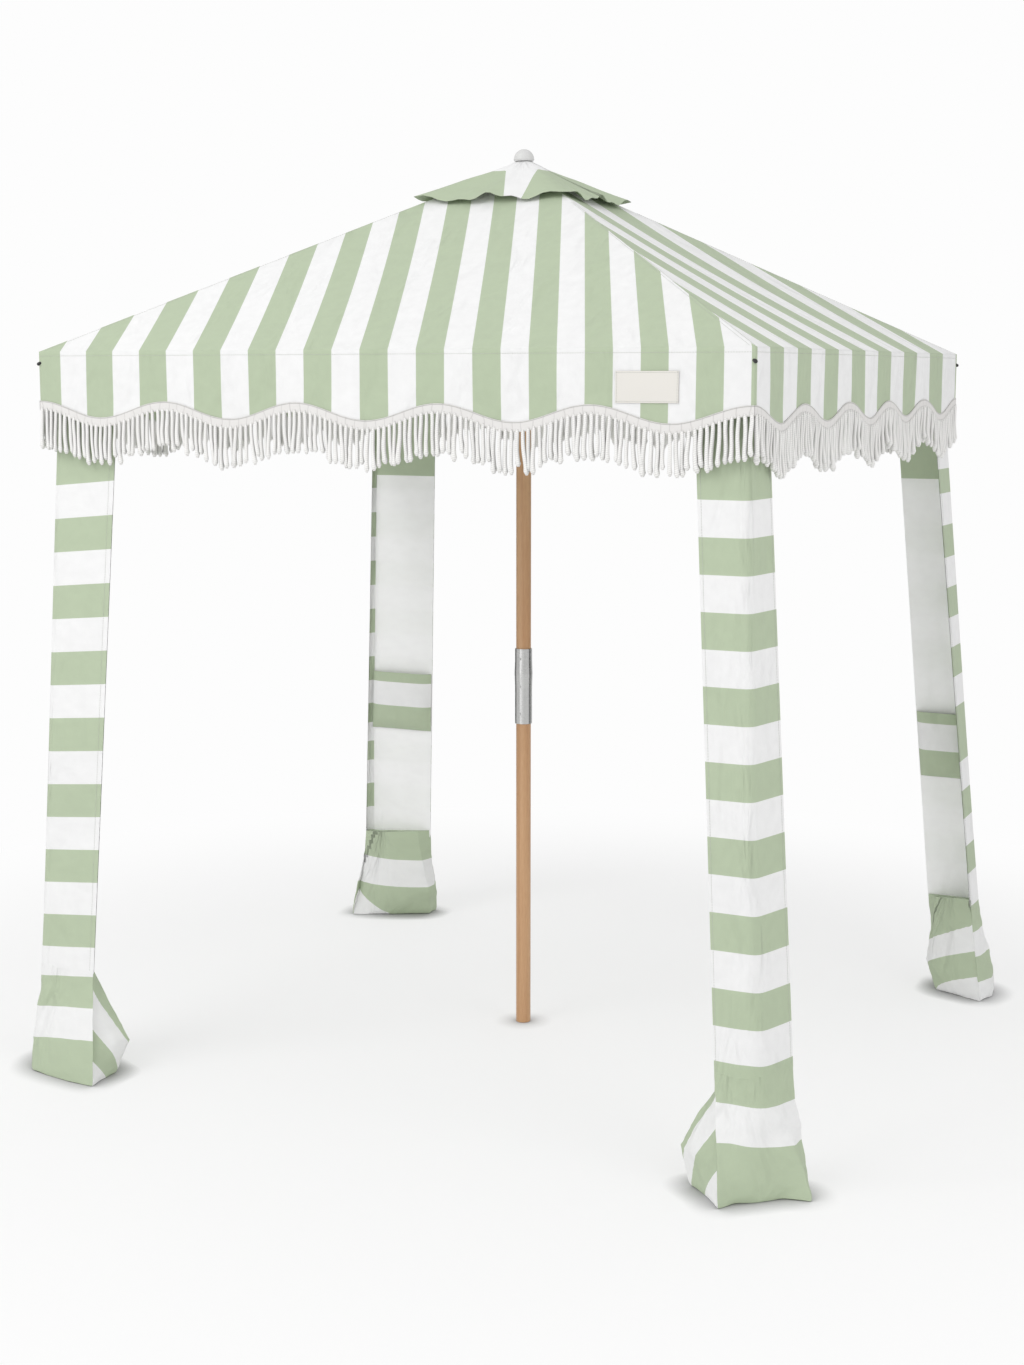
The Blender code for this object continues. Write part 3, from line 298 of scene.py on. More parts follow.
TENT = Tent()
SAND_MIDDLE = Vector((0.06, 0.04))
LEGS = {
    Corner.FRONT_LEFT: LegPlan(
        spread=(0.066, 0.084),
        eave=((0.185, 0.0), (0.0, 0.060)),
        ground=((0.172, -0.012), (-0.010, 0.070)),
        base=(
            (0.240, -0.085), (0.170, -0.084), (0.085, -0.071),
            (0.030, -0.058), (-0.010, -0.010), (-0.020, 0.100),
        ),
        ears=((0.249, 0.040), (0.230, 0.020)),
        bands=((1.436, 1.0), (0.307, 15.0), (0.235, 16.0), (0.163, 17.0), (0.091, 18.0)),
        tilt_share=0.09,
        level=0.4,
        gusset=((0.400, 16.0), (0.212, 17.0), (0.124, 18.0), (0.055, 19.0)),
    ),
    Corner.FRONT_RIGHT: LegPlan(
        spread=(0.084, 0.084),
        eave=((0.116, 0.0), (0.0, 0.118)),
        ground=((0.084, -0.004), (-0.050, 0.115)),
        base=(
            (0.052, -0.090), (0.030, -0.052), (-0.012, -0.020),
            (-0.051, 0.020), (-0.112, 0.036), (-0.085, 0.085),
        ),
        ears=((0.175, 0.012), (0.150, 0.002)),
        ear_curve=0.7,
        bands=(
            (1.439, 1.0), (1.058, 6.0), (0.671, 11.0), (0.354, 15.0),
            (0.280, 16.0), (0.197, 17.0), (0.124, 18.0),
        ),
        level=0.4,
        gusset=((0.400, 16.0), (0.222, 17.0), (0.147, 18.0), (0.070, 19.0)),
        gusset_fall=0.098,
    ),
    Corner.BACK_RIGHT: LegPlan(
        spread=(0.150, 0.084),
        eave=((0.135, 0.0), (0.0, 0.130)),
        ground=((0.144, -0.004), (-0.010, 0.118)),
        base=(
            (0.130, -0.030), (0.070, -0.030), (0.010, -0.028),
            (-0.030, 0.005), (-0.040, 0.065), (-0.020, 0.130),
        ),
        flare=1.5,
        mouth_rise=(0.027, 0.0),
        ears=((0.142, 0.058), (0.118, 0.075)),
        bands=(
            (1.446, 0.0), (1.383, 1.0), (1.213, 3.0), (0.815, 8.0), (0.66, 9.0),
            (0.356, 13.0), (0.262, 14.0), (0.192, 15.0), (0.125, 16.0), (0.055, 17.0),
        ),
        first=-0.5,
        wall=((0.400, 14.0), (0.204, 15.0), (0.140, 16.0), (0.070, 17.0), (-0.05, 17.9)),
        wall_drop=0.070,
    ),
    Corner.BACK_LEFT: LegPlan(
        spread=(0.092, 0.084),
        eave=((0.205, 0.0), (0.0, 0.018)),
        ground=((0.213, -0.004), (-0.008, 0.026)),
        base=(
            (0.215, -0.050), (0.140, -0.040), (0.060, -0.032),
            (0.010, -0.020), (-0.012, 0.030), (0.002, 0.120),
        ),
        ears=((0.232, 0.040), (0.222, 0.0)),
        bands=((1.349, 1.0), (0.67, 10.0), (0.488, 13.0), (0.256, 16.0)),
        mouth_rise=(0.0, 0.018),
        wall=((0.400, 16.0), (0.178, 17.0), (0.098, 18.0), (0.0, 18.9)),
        white_corner=(0.075, 0.55),
    ),
}


def linear(hex_code: str) -> tuple[float, float, float, float]:
    """Linear RGBA of an sRGB hex colour."""
    shares = [int(hex_code[n : n + 2], 16) / 255 for n in (0, 2, 4)]
    made = [s / 12.92 if s <= 0.04045 else ((s + 0.055) / 1.055) ** 2.4 for s in shares]
    return (made[0], made[1], made[2], 1.0)


def connect(tree: NodeTree, node: Node, inputs: Inputs) -> None:
    """Sets inputs of a node to values, or links output sockets to them, by input name or number."""
    for name, value in inputs.items():
        if isinstance(value, NodeSocket):
            tree.links.new(value, node.inputs[name])
        else:
            node.inputs[name].default_value = value


def add_node(tree: NodeTree, kind: str, inputs: Inputs | None = None, **settings: object) -> Node:
    """Adds a node.

    Args:
        tree: the tree that gets the node.
        kind: the node's type name.
        inputs: values, or output sockets to link, by input name or number.
        **settings: properties of the node.

    Returns:
        The new node.
    """
    made = tree.nodes.new(kind)
    for name, value in settings.items():
        setattr(made, name, value)
    connect(tree, made, inputs or {})
    return made


def maths(tree: NodeTree, operation: str, *values: object) -> NodeSocket:
    """The result of a Math node with these values or sockets."""
    return add_node(tree, "ShaderNodeMath", dict(enumerate(values)), operation=operation).outputs[0]


def times(tree: NodeTree, one: object, other: object) -> NodeSocket:
    """The product of two vectors or colours, part by part."""
    return add_node(tree, "ShaderNodeVectorMath", {0: one, 1: other}, operation="MULTIPLY").outputs[0]


def mottle(tree: NodeTree, place: NodeSocket, scale: float, **more: float) -> NodeSocket:
    """Noise of that scale at a place."""
    return add_node(tree, "ShaderNodeTexNoise", {"Vector": place, "Scale": scale} | more).outputs["Fac"]


def ramp(tree: NodeTree, value: NodeSocket, old: Pair, new: Pair = (0.0, 1.0), **settings: str) -> NodeSocket:
    """A value taken from an old range to a new one, and kept within it."""
    inputs = dict(enumerate((value, *old, *new)))
    return add_node(tree, "ShaderNodeMapRange", inputs, **settings).outputs[0]


def mixed(tree: NodeTree, share: NodeSocket, first: str, second: str) -> NodeSocket:
    """A mix of two hex colours."""
    inputs = {0: share, 6: linear(first), 7: linear(second)}
    return add_node(tree, "ShaderNodeMix", inputs, data_type="RGBA").outputs[2]


def bump(tree: NodeTree, strength: float, distance: float, height: NodeSocket, **more: object) -> NodeSocket:
    """Normals of a relief."""
    inputs = {"Strength": strength, "Distance": distance, "Height": height} | more
    return add_node(tree, "ShaderNodeBump", inputs).outputs[0]


def openness(tree: NodeTree, distance: float, samples: int) -> NodeSocket:
    """Share of the surroundings within a distance that is free."""
    made = add_node(tree, "ShaderNodeAmbientOcclusion", {"Distance": distance}, samples=samples)
    return made.outputs["AO"]


def join_shaders(tree: NodeTree, share: object, one: Node, other: Node, output: str) -> None:
    """Sends a mix of two shaders to the tree's output."""
    inputs = {0: share, 1: one.outputs[0], 2: other.outputs[0]}
    connect(tree, tree.nodes[output], {"Surface": add_node(tree, "ShaderNodeMixShader", inputs).outputs[0]})


def cloth_map(tree: NodeTree) -> tuple[NodeSocket, list[NodeSocket]]:
    """Metres along the cloth, as one vector and as its parts."""
    uv = add_node(tree, "ShaderNodeUVMap", uv_map="cloth").outputs[0]
    return uv, list(add_node(tree, "ShaderNodeSeparateXYZ", {0: uv}).outputs)


def place_of(tree: NodeTree) -> NodeSocket:
    """The place in the object's own metres."""
    return add_node(tree, "ShaderNodeTexCoord").outputs["Object"]


@dataclass(frozen=True)
class Finish:
    """A material round one Principled shader."""

    name: str

    def build(self) -> Material:
        """Makes the material."""
        made = bpy.data.materials.new(self.name)
        made.use_nodes = True
        connect(made.node_tree, made.node_tree.nodes[SHADER], self.surface(made.node_tree))
        return made

    def surface(self, tree: NodeTree) -> Inputs:
        """Values and sockets for the shader's inputs."""
        raise NotImplementedError


@dataclass(frozen=True)
class Canvas(Finish):
    """Yarn-dyed polyester canvas in two colours, cut and sewn with its stripes in line.

    The eye sees crisp stripe edges, a dull surface with a faint plain weave, slack creases and a
    little light through the cloth.

    Attributes:
        lead: how much sooner the stripes change, for the lining.
        last_phase: highest stripe number; a number that runs on to the hem stays in its colour.
        through: share of the light that passes.
    """

    green: str = "BCC9AE"
    white: str = "F4F4F4"
    yarn: float = 0.0009
    crease: float = 0.085
    crease_height: float = 0.024
    lead: float = 0.0
    last_phase: float = 100.0
    roughness: float = 0.86
    through: float = 0.12

    def surface(self, tree: NodeTree) -> Inputs:
        """Striped yarn with slubs, over creases, with some light through it."""
        phase = add_node(tree, "ShaderNodeAttribute", attribute_name="stripe").outputs["Fac"]
        if self.lead:
            phase = maths(tree, "ADD", maths(tree, "MAXIMUM", phase, 0.0), self.lead)
        phase = maths(tree, "MINIMUM", phase, self.last_phase)
        parity = maths(tree, "FLOORED_MODULO", maths(tree, "FLOOR", phase), 2.0)
        uv, parts = cloth_map(tree)
        slub = ramp(tree, mottle(tree, uv, 38.0, Detail=3.0), (0.3, 0.7), (0.975, 1.01))
        toned = times(tree, mixed(tree, parity, self.green, self.white), slub)
        glow = add_node(tree, "ShaderNodeBsdfTranslucent", {"Color": toned})
        join_shaders(tree, self.through, tree.nodes[SHADER], glow, "Material Output")
        return {
            "Base Color": toned,
            "Roughness": self.roughness,
            "Specular IOR Level": 0.25,
            "Sheen Weight": 0.08,
            "Normal": self._relief(tree, uv, parts),
        }

    def _relief(self, tree: NodeTree, uv: NodeSocket, parts: list[NodeSocket]) -> NodeSocket:
        """Normals of the creases with the weave on top."""
        turn = math.tau / self.yarn
        warp, weft = (maths(tree, "SINE", maths(tree, "MULTIPLY", part, turn)) for part in parts[:2])
        stretched = times(tree, uv, (1.0, 0.45, 1.0))
        folds = mottle(tree, stretched, 1 / self.crease, Detail=2.5, Roughness=0.45, Distortion=0.6)
        slack = bump(tree, 0.8, self.crease_height, folds)
        return bump(tree, 0.12, self.yarn / 6, maths(tree, "MULTIPLY", warp, weft), Normal=slack)


@dataclass(frozen=True)
class CottonTape(Finish):
    """Bleached cotton twill tape, gathered a little by its two rows of stitches.

    The eye sees a soft off-white band with faint upright puckers, darkened by painted shade, and a thin
    stitch line on top.
    """

    name: str = "bleached_cotton_tape"
    tint: str = "DFDDDB"
    pucker: float = 0.024
    width: float = TENT.tape

    def surface(self, tree: NodeTree) -> Inputs:
        """Cotton with painted shade in its puckers, and darker along its stitches."""
        uv, parts = cloth_map(tree)
        along = maths(tree, "MULTIPLY_ADD", parts[0], 1 / self.pucker, mottle(tree, uv, 22.0, Detail=1.0))
        beat = maths(tree, "ABSOLUTE", maths(tree, "SUBTRACT", maths(tree, "FRACT", along), 0.5))
        # Painted shade in each pucker; the same values give the puckers' relief.
        fold = ramp(tree, beat, (0.0, 0.06))
        edge = maths(tree, "ABSOLUTE", maths(tree, "SUBTRACT", self.width - 0.0022, parts[1]))
        stitches = maths(tree, "MULTIPLY_ADD", ramp(tree, edge, (0.0003, 0.0011)), 0.35, 0.65)
        # Painted shade of the puckers, with the darker stitch lines.
        dark = maths(tree, "MINIMUM", maths(tree, "MULTIPLY_ADD", fold, 0.16, 0.84), stitches)
        return {
            "Base Color": times(tree, linear(self.tint)[:3], dark),
            "Roughness": 0.9,
            "Specular IOR Level": 0.2,
            "Normal": bump(tree, 0.5, 0.0012, fold),
        }


@dataclass(frozen=True)
class TwistedCord(Finish):
    """Two-ply twisted cotton cord, bleached.

    The eye sees soft matt white threads with slanted grooves; painted shade darkens the grooves and the grey
    spaces between the cords.
    """

    name: str = "twisted_cotton_cord"
    tint: str = "F4F3F1"
    ply: float = 0.0045
    gap: float = 0.012

    def surface(self, tree: NodeTree) -> Inputs:
        """Cotton with painted shade in its grooves and where the cords hang close."""
        _, parts = cloth_map(tree)
        turn = maths(tree, "MULTIPLY", parts[0], 4 * math.pi)
        lay = maths(tree, "MULTIPLY_ADD", parts[1], math.tau / self.ply, turn)
        groove = maths(tree, "ABSOLUTE", maths(tree, "SINE", maths(tree, "MULTIPLY", lay, 0.5)))
        # Painted shade between the cords, where they hang close.
        shade = maths(tree, "MULTIPLY_ADD", openness(tree, self.gap, 8), 0.62, 0.38)
        # Painted shade in the grooves of the twist, on top of the painted shade between the cords.
        dark = maths(tree, "MULTIPLY", maths(tree, "MULTIPLY_ADD", groove, 0.20, 0.84), shade)
        return {
            "Base Color": times(tree, linear(self.tint)[:3], dark),
            "Roughness": 0.92,
            "Specular IOR Level": 0.15,
            "Normal": bump(tree, 0.8, 0.0008, groove),
        }


@dataclass(frozen=True)
class TurnedWood(Finish):
    """Turned and clear-lacquered beech pole.

    The eye sees a warm brown with long straight grain, small dark flecks and a satin shine.
    """

    name: str = "lacquered_beech"
    light: str = "CCA279"
    dark: str = "B3845A"

    def surface(self, tree: NodeTree) -> Inputs:
        """Grain and flecks, drawn out along the pole, under a clear coat."""
        place = place_of(tree)
        grain = mottle(tree, times(tree, place, (60.0, 60.0, 1.6)), 1.0, Detail=5.0, Distortion=0.4)
        fleck = mottle(tree, times(tree, place, (900.0, 900.0, 45.0)), 1.0, Detail=1.0)
        tone = maths(tree, "MULTIPLY_ADD", fleck, 0.35, maths(tree, "MULTIPLY", grain, 0.8))
        return {
            "Base Color": mixed(tree, ramp(tree, tone, (0.38, 0.75)), self.dark, self.light),
            "Roughness": 0.42,
            "Coat Weight": 0.25,
            "Coat Roughness": 0.25,
            "Normal": bump(tree, 0.15, 0.0003, tone),
        }


@dataclass(frozen=True)
class BrushedSteel(Finish):
    """Drawn and brushed stainless tube.

    The eye sees long soft highlights down the tube, broken by fine lines round it.
    """

    name: str = "brushed_stainless_steel"
    tint: str = "C9C9C8"
    roughness: float = 0.27

    def surface(self, tree: NodeTree) -> Inputs:
        """Bare metal with fine rings in its shine."""
        lines = mottle(tree, times(tree, place_of(tree), (40.0, 40.0, 4000.0)), 1.0, Detail=1.0)
        rough = maths(tree, "MULTIPLY_ADD", lines, 0.10, self.roughness - 0.05)
        return {"Base Color": linear(self.tint), "Metallic": 1.0, "Roughness": rough}


@dataclass(frozen=True)
class Moulded(Finish):
    """Injection-moulded plastic or pultruded rod with a fine satin grain.

    The eye sees one even colour with a soft highlight and a barely rough skin.
    """

    tint: str
    roughness: float = 0.42
    grain: float = 0.0012

    def surface(self, tree: NodeTree) -> Inputs:
        """One colour over a fine grain."""
        skin = mottle(tree, place_of(tree), 1 / self.grain, Detail=1.0)
        relief = bump(tree, 0.08, 0.0002, skin)
        return {"Base Color": linear(self.tint), "Roughness": self.roughness, "Normal": relief}


@dataclass(frozen=True)
class StudioFloor(Finish):
    """Matt studio floor. The eye sees pale grey near the tent, with painted contact shadow round the tent's
    feet, that runs out into the backdrop.
    """

    name: str = "matt_studio_floor"
    tint: str = "F2F2F2"
    backdrop: str = "FDFDFD"
    fade: Pair = (1.3, 2.7)
    least_glow: float = 0.55
    # Reach and power of the painted contact shadow in the floor's glow.
    contact: float = 0.06
    contact_power: float = 2.6

    def surface(self, tree: NodeTree) -> Inputs:
        """Matt paint that glows towards the backdrop, for the camera alone, with painted contact shadow
        darkening the glow near the tent.
        """
        away = add_node(tree, "ShaderNodeVectorMath", {0: place_of(tree)}, operation="LENGTH")
        glows = (self.least_glow, 1.0)
        fade = ramp(tree, away.outputs["Value"], self.fade, glows, interpolation_type="SMOOTHSTEP")
        seen = maths(tree, "MULTIPLY", fade, add_node(tree, "ShaderNodeLightPath").outputs["Is Camera Ray"])
        # Painted contact shadow: the glow darkens where the tent stands close to the floor.
        shade = maths(tree, "POWER", openness(tree, self.contact, 12), self.contact_power)
        tone = times(tree, linear(self.backdrop)[:3], shade)
        glow = add_node(tree, "ShaderNodeEmission", {"Color": tone, "Strength": 1.0})
        join_shaders(tree, seen, tree.nodes[SHADER], glow, "Material Output")
        return {"Base Color": linear(self.tint), "Roughness": 0.95, "Specular IOR Level": 0.1}


@dataclass(frozen=True)
class BlackCard(Finish):
    """Matt black card. The eye sees it only as the dark edges of round metal."""

    name: str = "black_card"
    tint: str = "202020"

    def surface(self, tree: NodeTree) -> Inputs:
        """One dull colour."""
        return {"Base Color": linear(self.tint), "Roughness": 1.0}


def built(finish: Finish) -> Material:
    """A field that builds its material when the set of finishes is made."""
    return field(default_factory=finish.build)


@dataclass
class Finishes:
    """Every finish of the tent, made once."""

    canvas: Material = built(Canvas("yarn_dyed_canvas"))
    # The lining's pure white, whiter than the outer canvas's white, is painted light on the legs' shaded
    # inner faces.
    lining: Material = built(
        Canvas("canvas_lining_side", white="FFFFFF", crease_height=0.016, lead=0.5, last_phase=1.5)
    )
    pocket: Material = built(Canvas("sand_filled_canvas", crease=0.06, crease_height=0.026))
    tape: Material = built(CottonTape())
    cord: Material = built(TwistedCord())
    wood: Material = built(TurnedWood())
    steel: Material = built(BrushedSteel())
    white_plastic: Material = built(Moulded("moulded_white_nylon", "D2D2D1"))
    black_plastic: Material = built(Moulded("moulded_black_nylon", "242424"))
    fibreglass: Material = built(Moulded("pultruded_fibreglass", "DAD8D2", 0.38))
    patch: Material = built(Moulded("pressed_felt_patch", "DFDCD6", 0.9, 0.002))
    thread: Material = built(Moulded("spun_polyester_thread", "C6C8C1", 0.8))

    def dress_hardware(self) -> None:
        """Puts the finishes in the material slots of the CAD nodes that stay in sight."""
        hardware = ("wood", "steel", "white_plastic", "black_plastic", "fibreglass")
        for thing in frame["nodes"].values():
            for slot in thing.material_slots:
                name = slot.material.name.split(".")[0] if slot.material else ""
                if name in hardware:
                    slot.material = getattr(self, name)


def in_scene(name: str, data: bpy.types.ID) -> Object:
    """A new object in the scene."""
    made = bpy.data.objects.new(name, data)
    bpy.context.scene.collection.objects.link(made)
    return made


def cell(row: int, column: int, columns: int) -> list[int]:
    """The corners of a cell in rows of points, where the column after the last is the first."""
    after = (column + 1) % columns
    this, following = row * columns, (row + 1) * columns
    return [this + column, this + after, following + after, following + column]


def dye(mesh: Mesh, stripes: Sequence[float], charts: Sequence[Pair]) -> None:
    """Gives a mesh its stripe numbers and its cloth map, both listed by vertex."""
    mesh.attributes.new("stripe", "FLOAT", "POINT").data.foreach_set("value", stripes)
    layer = mesh.uv_layers.new(name="cloth")
    layer.data.foreach_set("uv", [part for loop in mesh.loops for part in charts[loop.vertex_index]])


def slack_noise(place: Vector, size: float, seed: float) -> float:
    """Smooth noise of about -1 to 1 with features of that size."""
    return noise.noise(place / size + Vector((seed, -seed, 2 * seed)))


@dataclass
class Sheet:
    """A cloth surface with two skins, described by its outer face.

    Attributes:
        name: name of the piece.
        point: outer face at (u, v).
        chart: metres along the cloth at (u, v), for the weave and the stitches.
        stripe: stripe number at (u, v).
        outside: a direction out of the cloth's outer face at a point.
        us: values of u. With wrap the last column joins the first.
        vs: values of v.
        thickness: of the cloth.
        materials: of the cloth; the first is its outer face's.
        normal: changes the normal at (u, v), for rounded folds.
        inner: slot number of the inner face's material at (u, v).
        keep: tells whether the cloth covers the cell at (u, v).
        wrap: joins the cloth to a ring.
    """

    name: str
    point: Point
    chart: Callable[[float, float], Pair]
    stripe: Value
    outside: Callable[[Vector], Vector]
    us: Sequence[float]
    vs: Sequence[float]
    thickness: float
    materials: Sequence[Material]
    normal: Callable[[float, float, Vector], Vector] | None = None
    inner: Callable[[float, float], int] | None = None
    keep: Callable[[float, float], bool] | None = None
    wrap: bool = False

    def _normal_at(self, u: float, v: float) -> Vector:
        """The outward normal, from neighbouring points."""
        step = 0.002
        du = (self.us[-1] - self.us[0]) * step
        dv = (self.vs[-1] - self.vs[0]) * step
        along = self.point(u + du, v) - self.point(u - du, v)
        across = self.point(u, v + dv) - self.point(u, v - dv)
        made = along.cross(across).normalized()
        if made.dot(self.outside(self.point(u, v))) < 0:
            made.negate()
        return self.normal(u, v, made).normalized() if self.normal else made

    def build(self) -> Object:
        """Makes the piece as one mesh."""
        us, vs = self.us, self.vs
        columns = len(us)
        places = [(u, v) for v in vs for u in us]
        outer = [self.point(*at) for at in places]
        normals = [self._normal_at(*at) for at in places]
        inner = [place - out * self.thickness for place, out in zip(outer, normals)]
        count = len(outer)
        faces, slots, edges = [], [], {}
        for r in range(len(vs) - 1):
            for c in range(columns if self.wrap else columns - 1):
                middle = (us[c] + us[(c + 1) % columns]) / 2, (vs[r] + vs[r + 1]) / 2
                if self.keep and not self.keep(*middle):
                    continue
                quad = cell(r, c, columns)
                a, b, d = outer[quad[0]], outer[quad[1]], outer[quad[3]]
                if (b - a).cross(d - a).dot(normals[quad[0]]) < 0:
                    quad.reverse()
                faces += [quad, [count + n for n in reversed(quad)]]
                slots += [0, self.inner(*middle) if self.inner else 0]
                for start, end in zip(quad, quad[1:] + quad[:1]):
                    if (end, start) in edges:
                        del edges[end, start]
                    else:
                        edges[start, end] = True
        for start, end in edges:
            faces.append([end, start, count + start, count + end])
            slots.append(0)
        mesh = bpy.data.meshes.new(self.name)
        mesh.from_pydata([tuple(p) for p in outer + inner], [], faces)
        for made in self.materials:
            mesh.materials.append(made)
        mesh.polygons.foreach_set("material_index", slots)
        dye(mesh, [self.stripe(*at) for at in places] * 2, [self.chart(*at) for at in places] * 2)
        mesh.shade_smooth()
        both = [tuple(n) for n in normals] + [tuple(-n) for n in normals]
        mesh.normals_split_custom_set_from_vertices(both)
        mesh.validate()
        return self._trimmed(mesh)

    def _trimmed(self, mesh: Mesh) -> Object:
        """The piece without the points that no face uses."""
        thing = in_scene(self.name, mesh)
        used = bmesh.new()
        used.from_mesh(mesh)
        loose = [v for v in used.verts if not v.link_faces]
        if loose:
            bmesh.ops.delete(used, geom=loose, context="VERTS")
            used.to_mesh(mesh)
        used.free()
        return thing

    def area(self) -> float:
        """Area of the outer face."""
        total = 0.0
        us, vs = list(self.us), list(self.vs)
        if self.wrap:
            us.append(us[0] + 1)
        for v0, v1 in zip(vs, vs[1:]):
            for u0, u1 in zip(us, us[1:]):
                if self.keep and not self.keep((u0 + u1) / 2, (v0 + v1) / 2):
                    continue
                a, b, c, d = (self.point(*at) for at in ((u0, v0), (u1, v0), (u1, v1), (u0, v1)))
                total += ((c - a).cross(d - b)).length / 2
        return total

    def declare(self, thing: Object, flat: Pair) -> None:
        """Works out the outer face's area held within its flat box; nothing more is done with it.

        Args:
            thing: the finished piece; not used.
            flat: its flat size.
        """
        area = min(max(self.area(), LEAST_FILL * flat[0] * flat[1]), flat[0] * flat[1])


@dataclass
class Repeat:
    """Copies of small samples along a line, spread by a node tree and made into one plain mesh.

    Attributes:
        name: name of the node tree.
        samples: meshes to pick from. Their X follows the line when follow is set.
        finish: material of the copies.
        spacing: distance between two copies.
        turns: lowest and highest random turn about X, Y and Z.
        grows: lowest and highest random scale along X, Y and Z.
        follow: turns each copy along the line.
    """

    name: str
    samples: list[Mesh]
    finish: Material
    spacing: float
    turns: tuple[Triple, Triple] = ((0.0, 0.0, 0.0), (0.0, 0.0, 0.0))
    grows: tuple[Triple, Triple] = ((1.0, 1.0, 1.0), (1.0, 1.0, 1.0))
    follow: bool = False

    def __post_init__(self) -> None:
        """Puts the samples in a collection and makes the node tree."""
        self.store = bpy.data.collections.new(self.name)
        for mesh in self.samples:
            self.store.objects.link(bpy.data.objects.new(mesh.name, mesh))
        self.tree = bpy.data.node_groups.new(self.name, "GeometryNodeTree")
        self._nodes(self.tree)

    def _nodes(self, tree: NodeTree) -> None:
        """Fills the node tree."""
        sockets = tree.interface
        sockets.new_socket("Geometry", in_out="INPUT", socket_type="NodeSocketGeometry")
        kinds = {"Spacing": "Float", "Seed": "Int", "Samples": "Collection", "Finish": "Material"}
        for name, kind in kinds.items():
            sockets.new_socket(name, in_out="INPUT", socket_type=f"NodeSocket{kind}")
        sockets.new_socket("Geometry", in_out="OUTPUT", socket_type="NodeSocketGeometry")
        given = tree.nodes.new("NodeGroupInput").outputs

        def step(kind: str, inputs: Inputs, **settings: object) -> NodeSocket:
            """The first output of a new node."""
            return add_node(tree, kind, inputs, **settings).outputs[0]

        def dice(limits: tuple[Triple, Triple]) -> NodeSocket:
            """A random vector for each copy."""
            inputs = {0: limits[0], 1: limits[1], "Seed": given["Seed"]}
            return step("FunctionNodeRandomValue", inputs, data_type="FLOAT_VECTOR")

        curve = step("GeometryNodeMeshToCurve", {"Mesh": given["Geometry"]})
        spaced = {"Curve": curve, "Length": given["Spacing"]}
        points = step("GeometryNodeResampleCurve", spaced, mode="LENGTH")
        reset = {"Collection": given["Samples"], "Separate Children": True, "Reset Children": True}
        samples = step("GeometryNodeCollectionInfo", reset)
        choice = {4: 0, 5: len(self.samples) - 1, "Seed": given["Seed"]}
        pick = add_node(tree, "FunctionNodeRandomValue", choice, data_type="INT").outputs[2]
        grow, turn = dice(self.grows), dice(self.turns)
        if self.follow:
            along = step("GeometryNodeInputTangent", {})
            turn = step("FunctionNodeAlignRotationToVector", {"Vector": along}, axis="X")
        placed = {"Points": points, "Instance": samples, "Pick Instance": True, "Instance Index": pick}
        copies = step("GeometryNodeInstanceOnPoints", placed | {"Rotation": turn, "Scale": grow})
        real = step("GeometryNodeRealizeInstances", {"Geometry": copies})
        dressed = step("GeometryNodeSetMaterial", {"Geometry": real, "Material": given["Finish"]})
        tree.links.new(dressed, tree.nodes.new("NodeGroupOutput").inputs[0])

    def along(self, name: str, lines: Sequence[Sequence[Vector]], seed: int = 0) -> Object:
        """Copies the samples along lines.

        Args:
            name: name of the new object.
            lines: each a list of points.
            seed: of the random choices.

        Returns:
            One plain mesh object.
        """
        points, pairs = [], []
        for line in lines:
            pairs += [(len(points) + n, len(points) + n + 1) for n in range(len(line) - 1)]
            points += [tuple(point) for point in line]
        carrier = in_scene("carrier", bpy.data.meshes.new("carrier"))
        carrier.data.from_pydata(points, pairs, [])
        modifier = carrier.modifiers.new("repeat", "NODES")
        modifier.node_group = self.tree
        values = {"Spacing": self.spacing, "Seed": seed, "Samples": self.store, "Finish": self.finish}
        for item in self.tree.interface.items_tree:
            if item.in_out == "INPUT" and item.name in values:
                modifier[item.identifier] = values[item.name]
        graph = bpy.context.evaluated_depsgraph_get()
        made = bpy.data.meshes.new_from_object(carrier.evaluated_get(graph))
        carrier.modifiers.clear()
        bpy.data.objects.remove(carrier, do_unlink=True)
        return in_scene(name, made)

    def clear(self) -> None:
        """Removes the samples and the tree."""
        for sample in list(self.store.objects):
            bpy.data.objects.remove(sample, do_unlink=True)
        bpy.data.collections.remove(self.store)
        bpy.data.node_groups.remove(self.tree)


def tube(name: str, rows: Sequence[tuple[Vector, float]], sides: int, across: tuple[Vector, Vector]) -> Mesh:
    """A closed tube through round rows, each a middle and a radius.

    Args:
        name: name of the mesh.
        rows: middles and radii, from one end to the other.
        sides: number of sides.
        across: two directions across the tube.

    Returns:
        The mesh, whose map holds the turn round the tube and the way along it.
    """
    points, faces = [], []
    for middle, radius in rows:
        for turn in (math.tau * c / sides for c in range(sides)):
            points.append(middle + across[0] * radius * math.cos(turn) + across[1] * radius * math.sin(turn))
    for r in range(len(rows) - 1):
        for c in range(sides):
            first, *others = cell(r, c, sides)
            faces.append((first, *reversed(others)))
    faces.append(tuple(range(sides)))
    faces.append(tuple(reversed(range((len(rows) - 1) * sides, len(rows) * sides))))
    mesh = bpy.data.meshes.new(name)
    mesh.from_pydata([tuple(point) for point in points], [], faces)
    layer = mesh.uv_layers.new(name="cloth")
    for polygon in mesh.polygons:
        numbers = [mesh.loops[n].vertex_index for n in polygon.loop_indices]
        seam = any(number % sides == sides - 1 for number in numbers)
        for n, number in zip(polygon.loop_indices, numbers):
            row, column = divmod(number, sides)
            around = 1.0 if column == 0 and seam else column / sides
            layer.data[n].uv = (around, (rows[row][0] - rows[0][0]).length)
    mesh.shade_smooth()
    return mesh


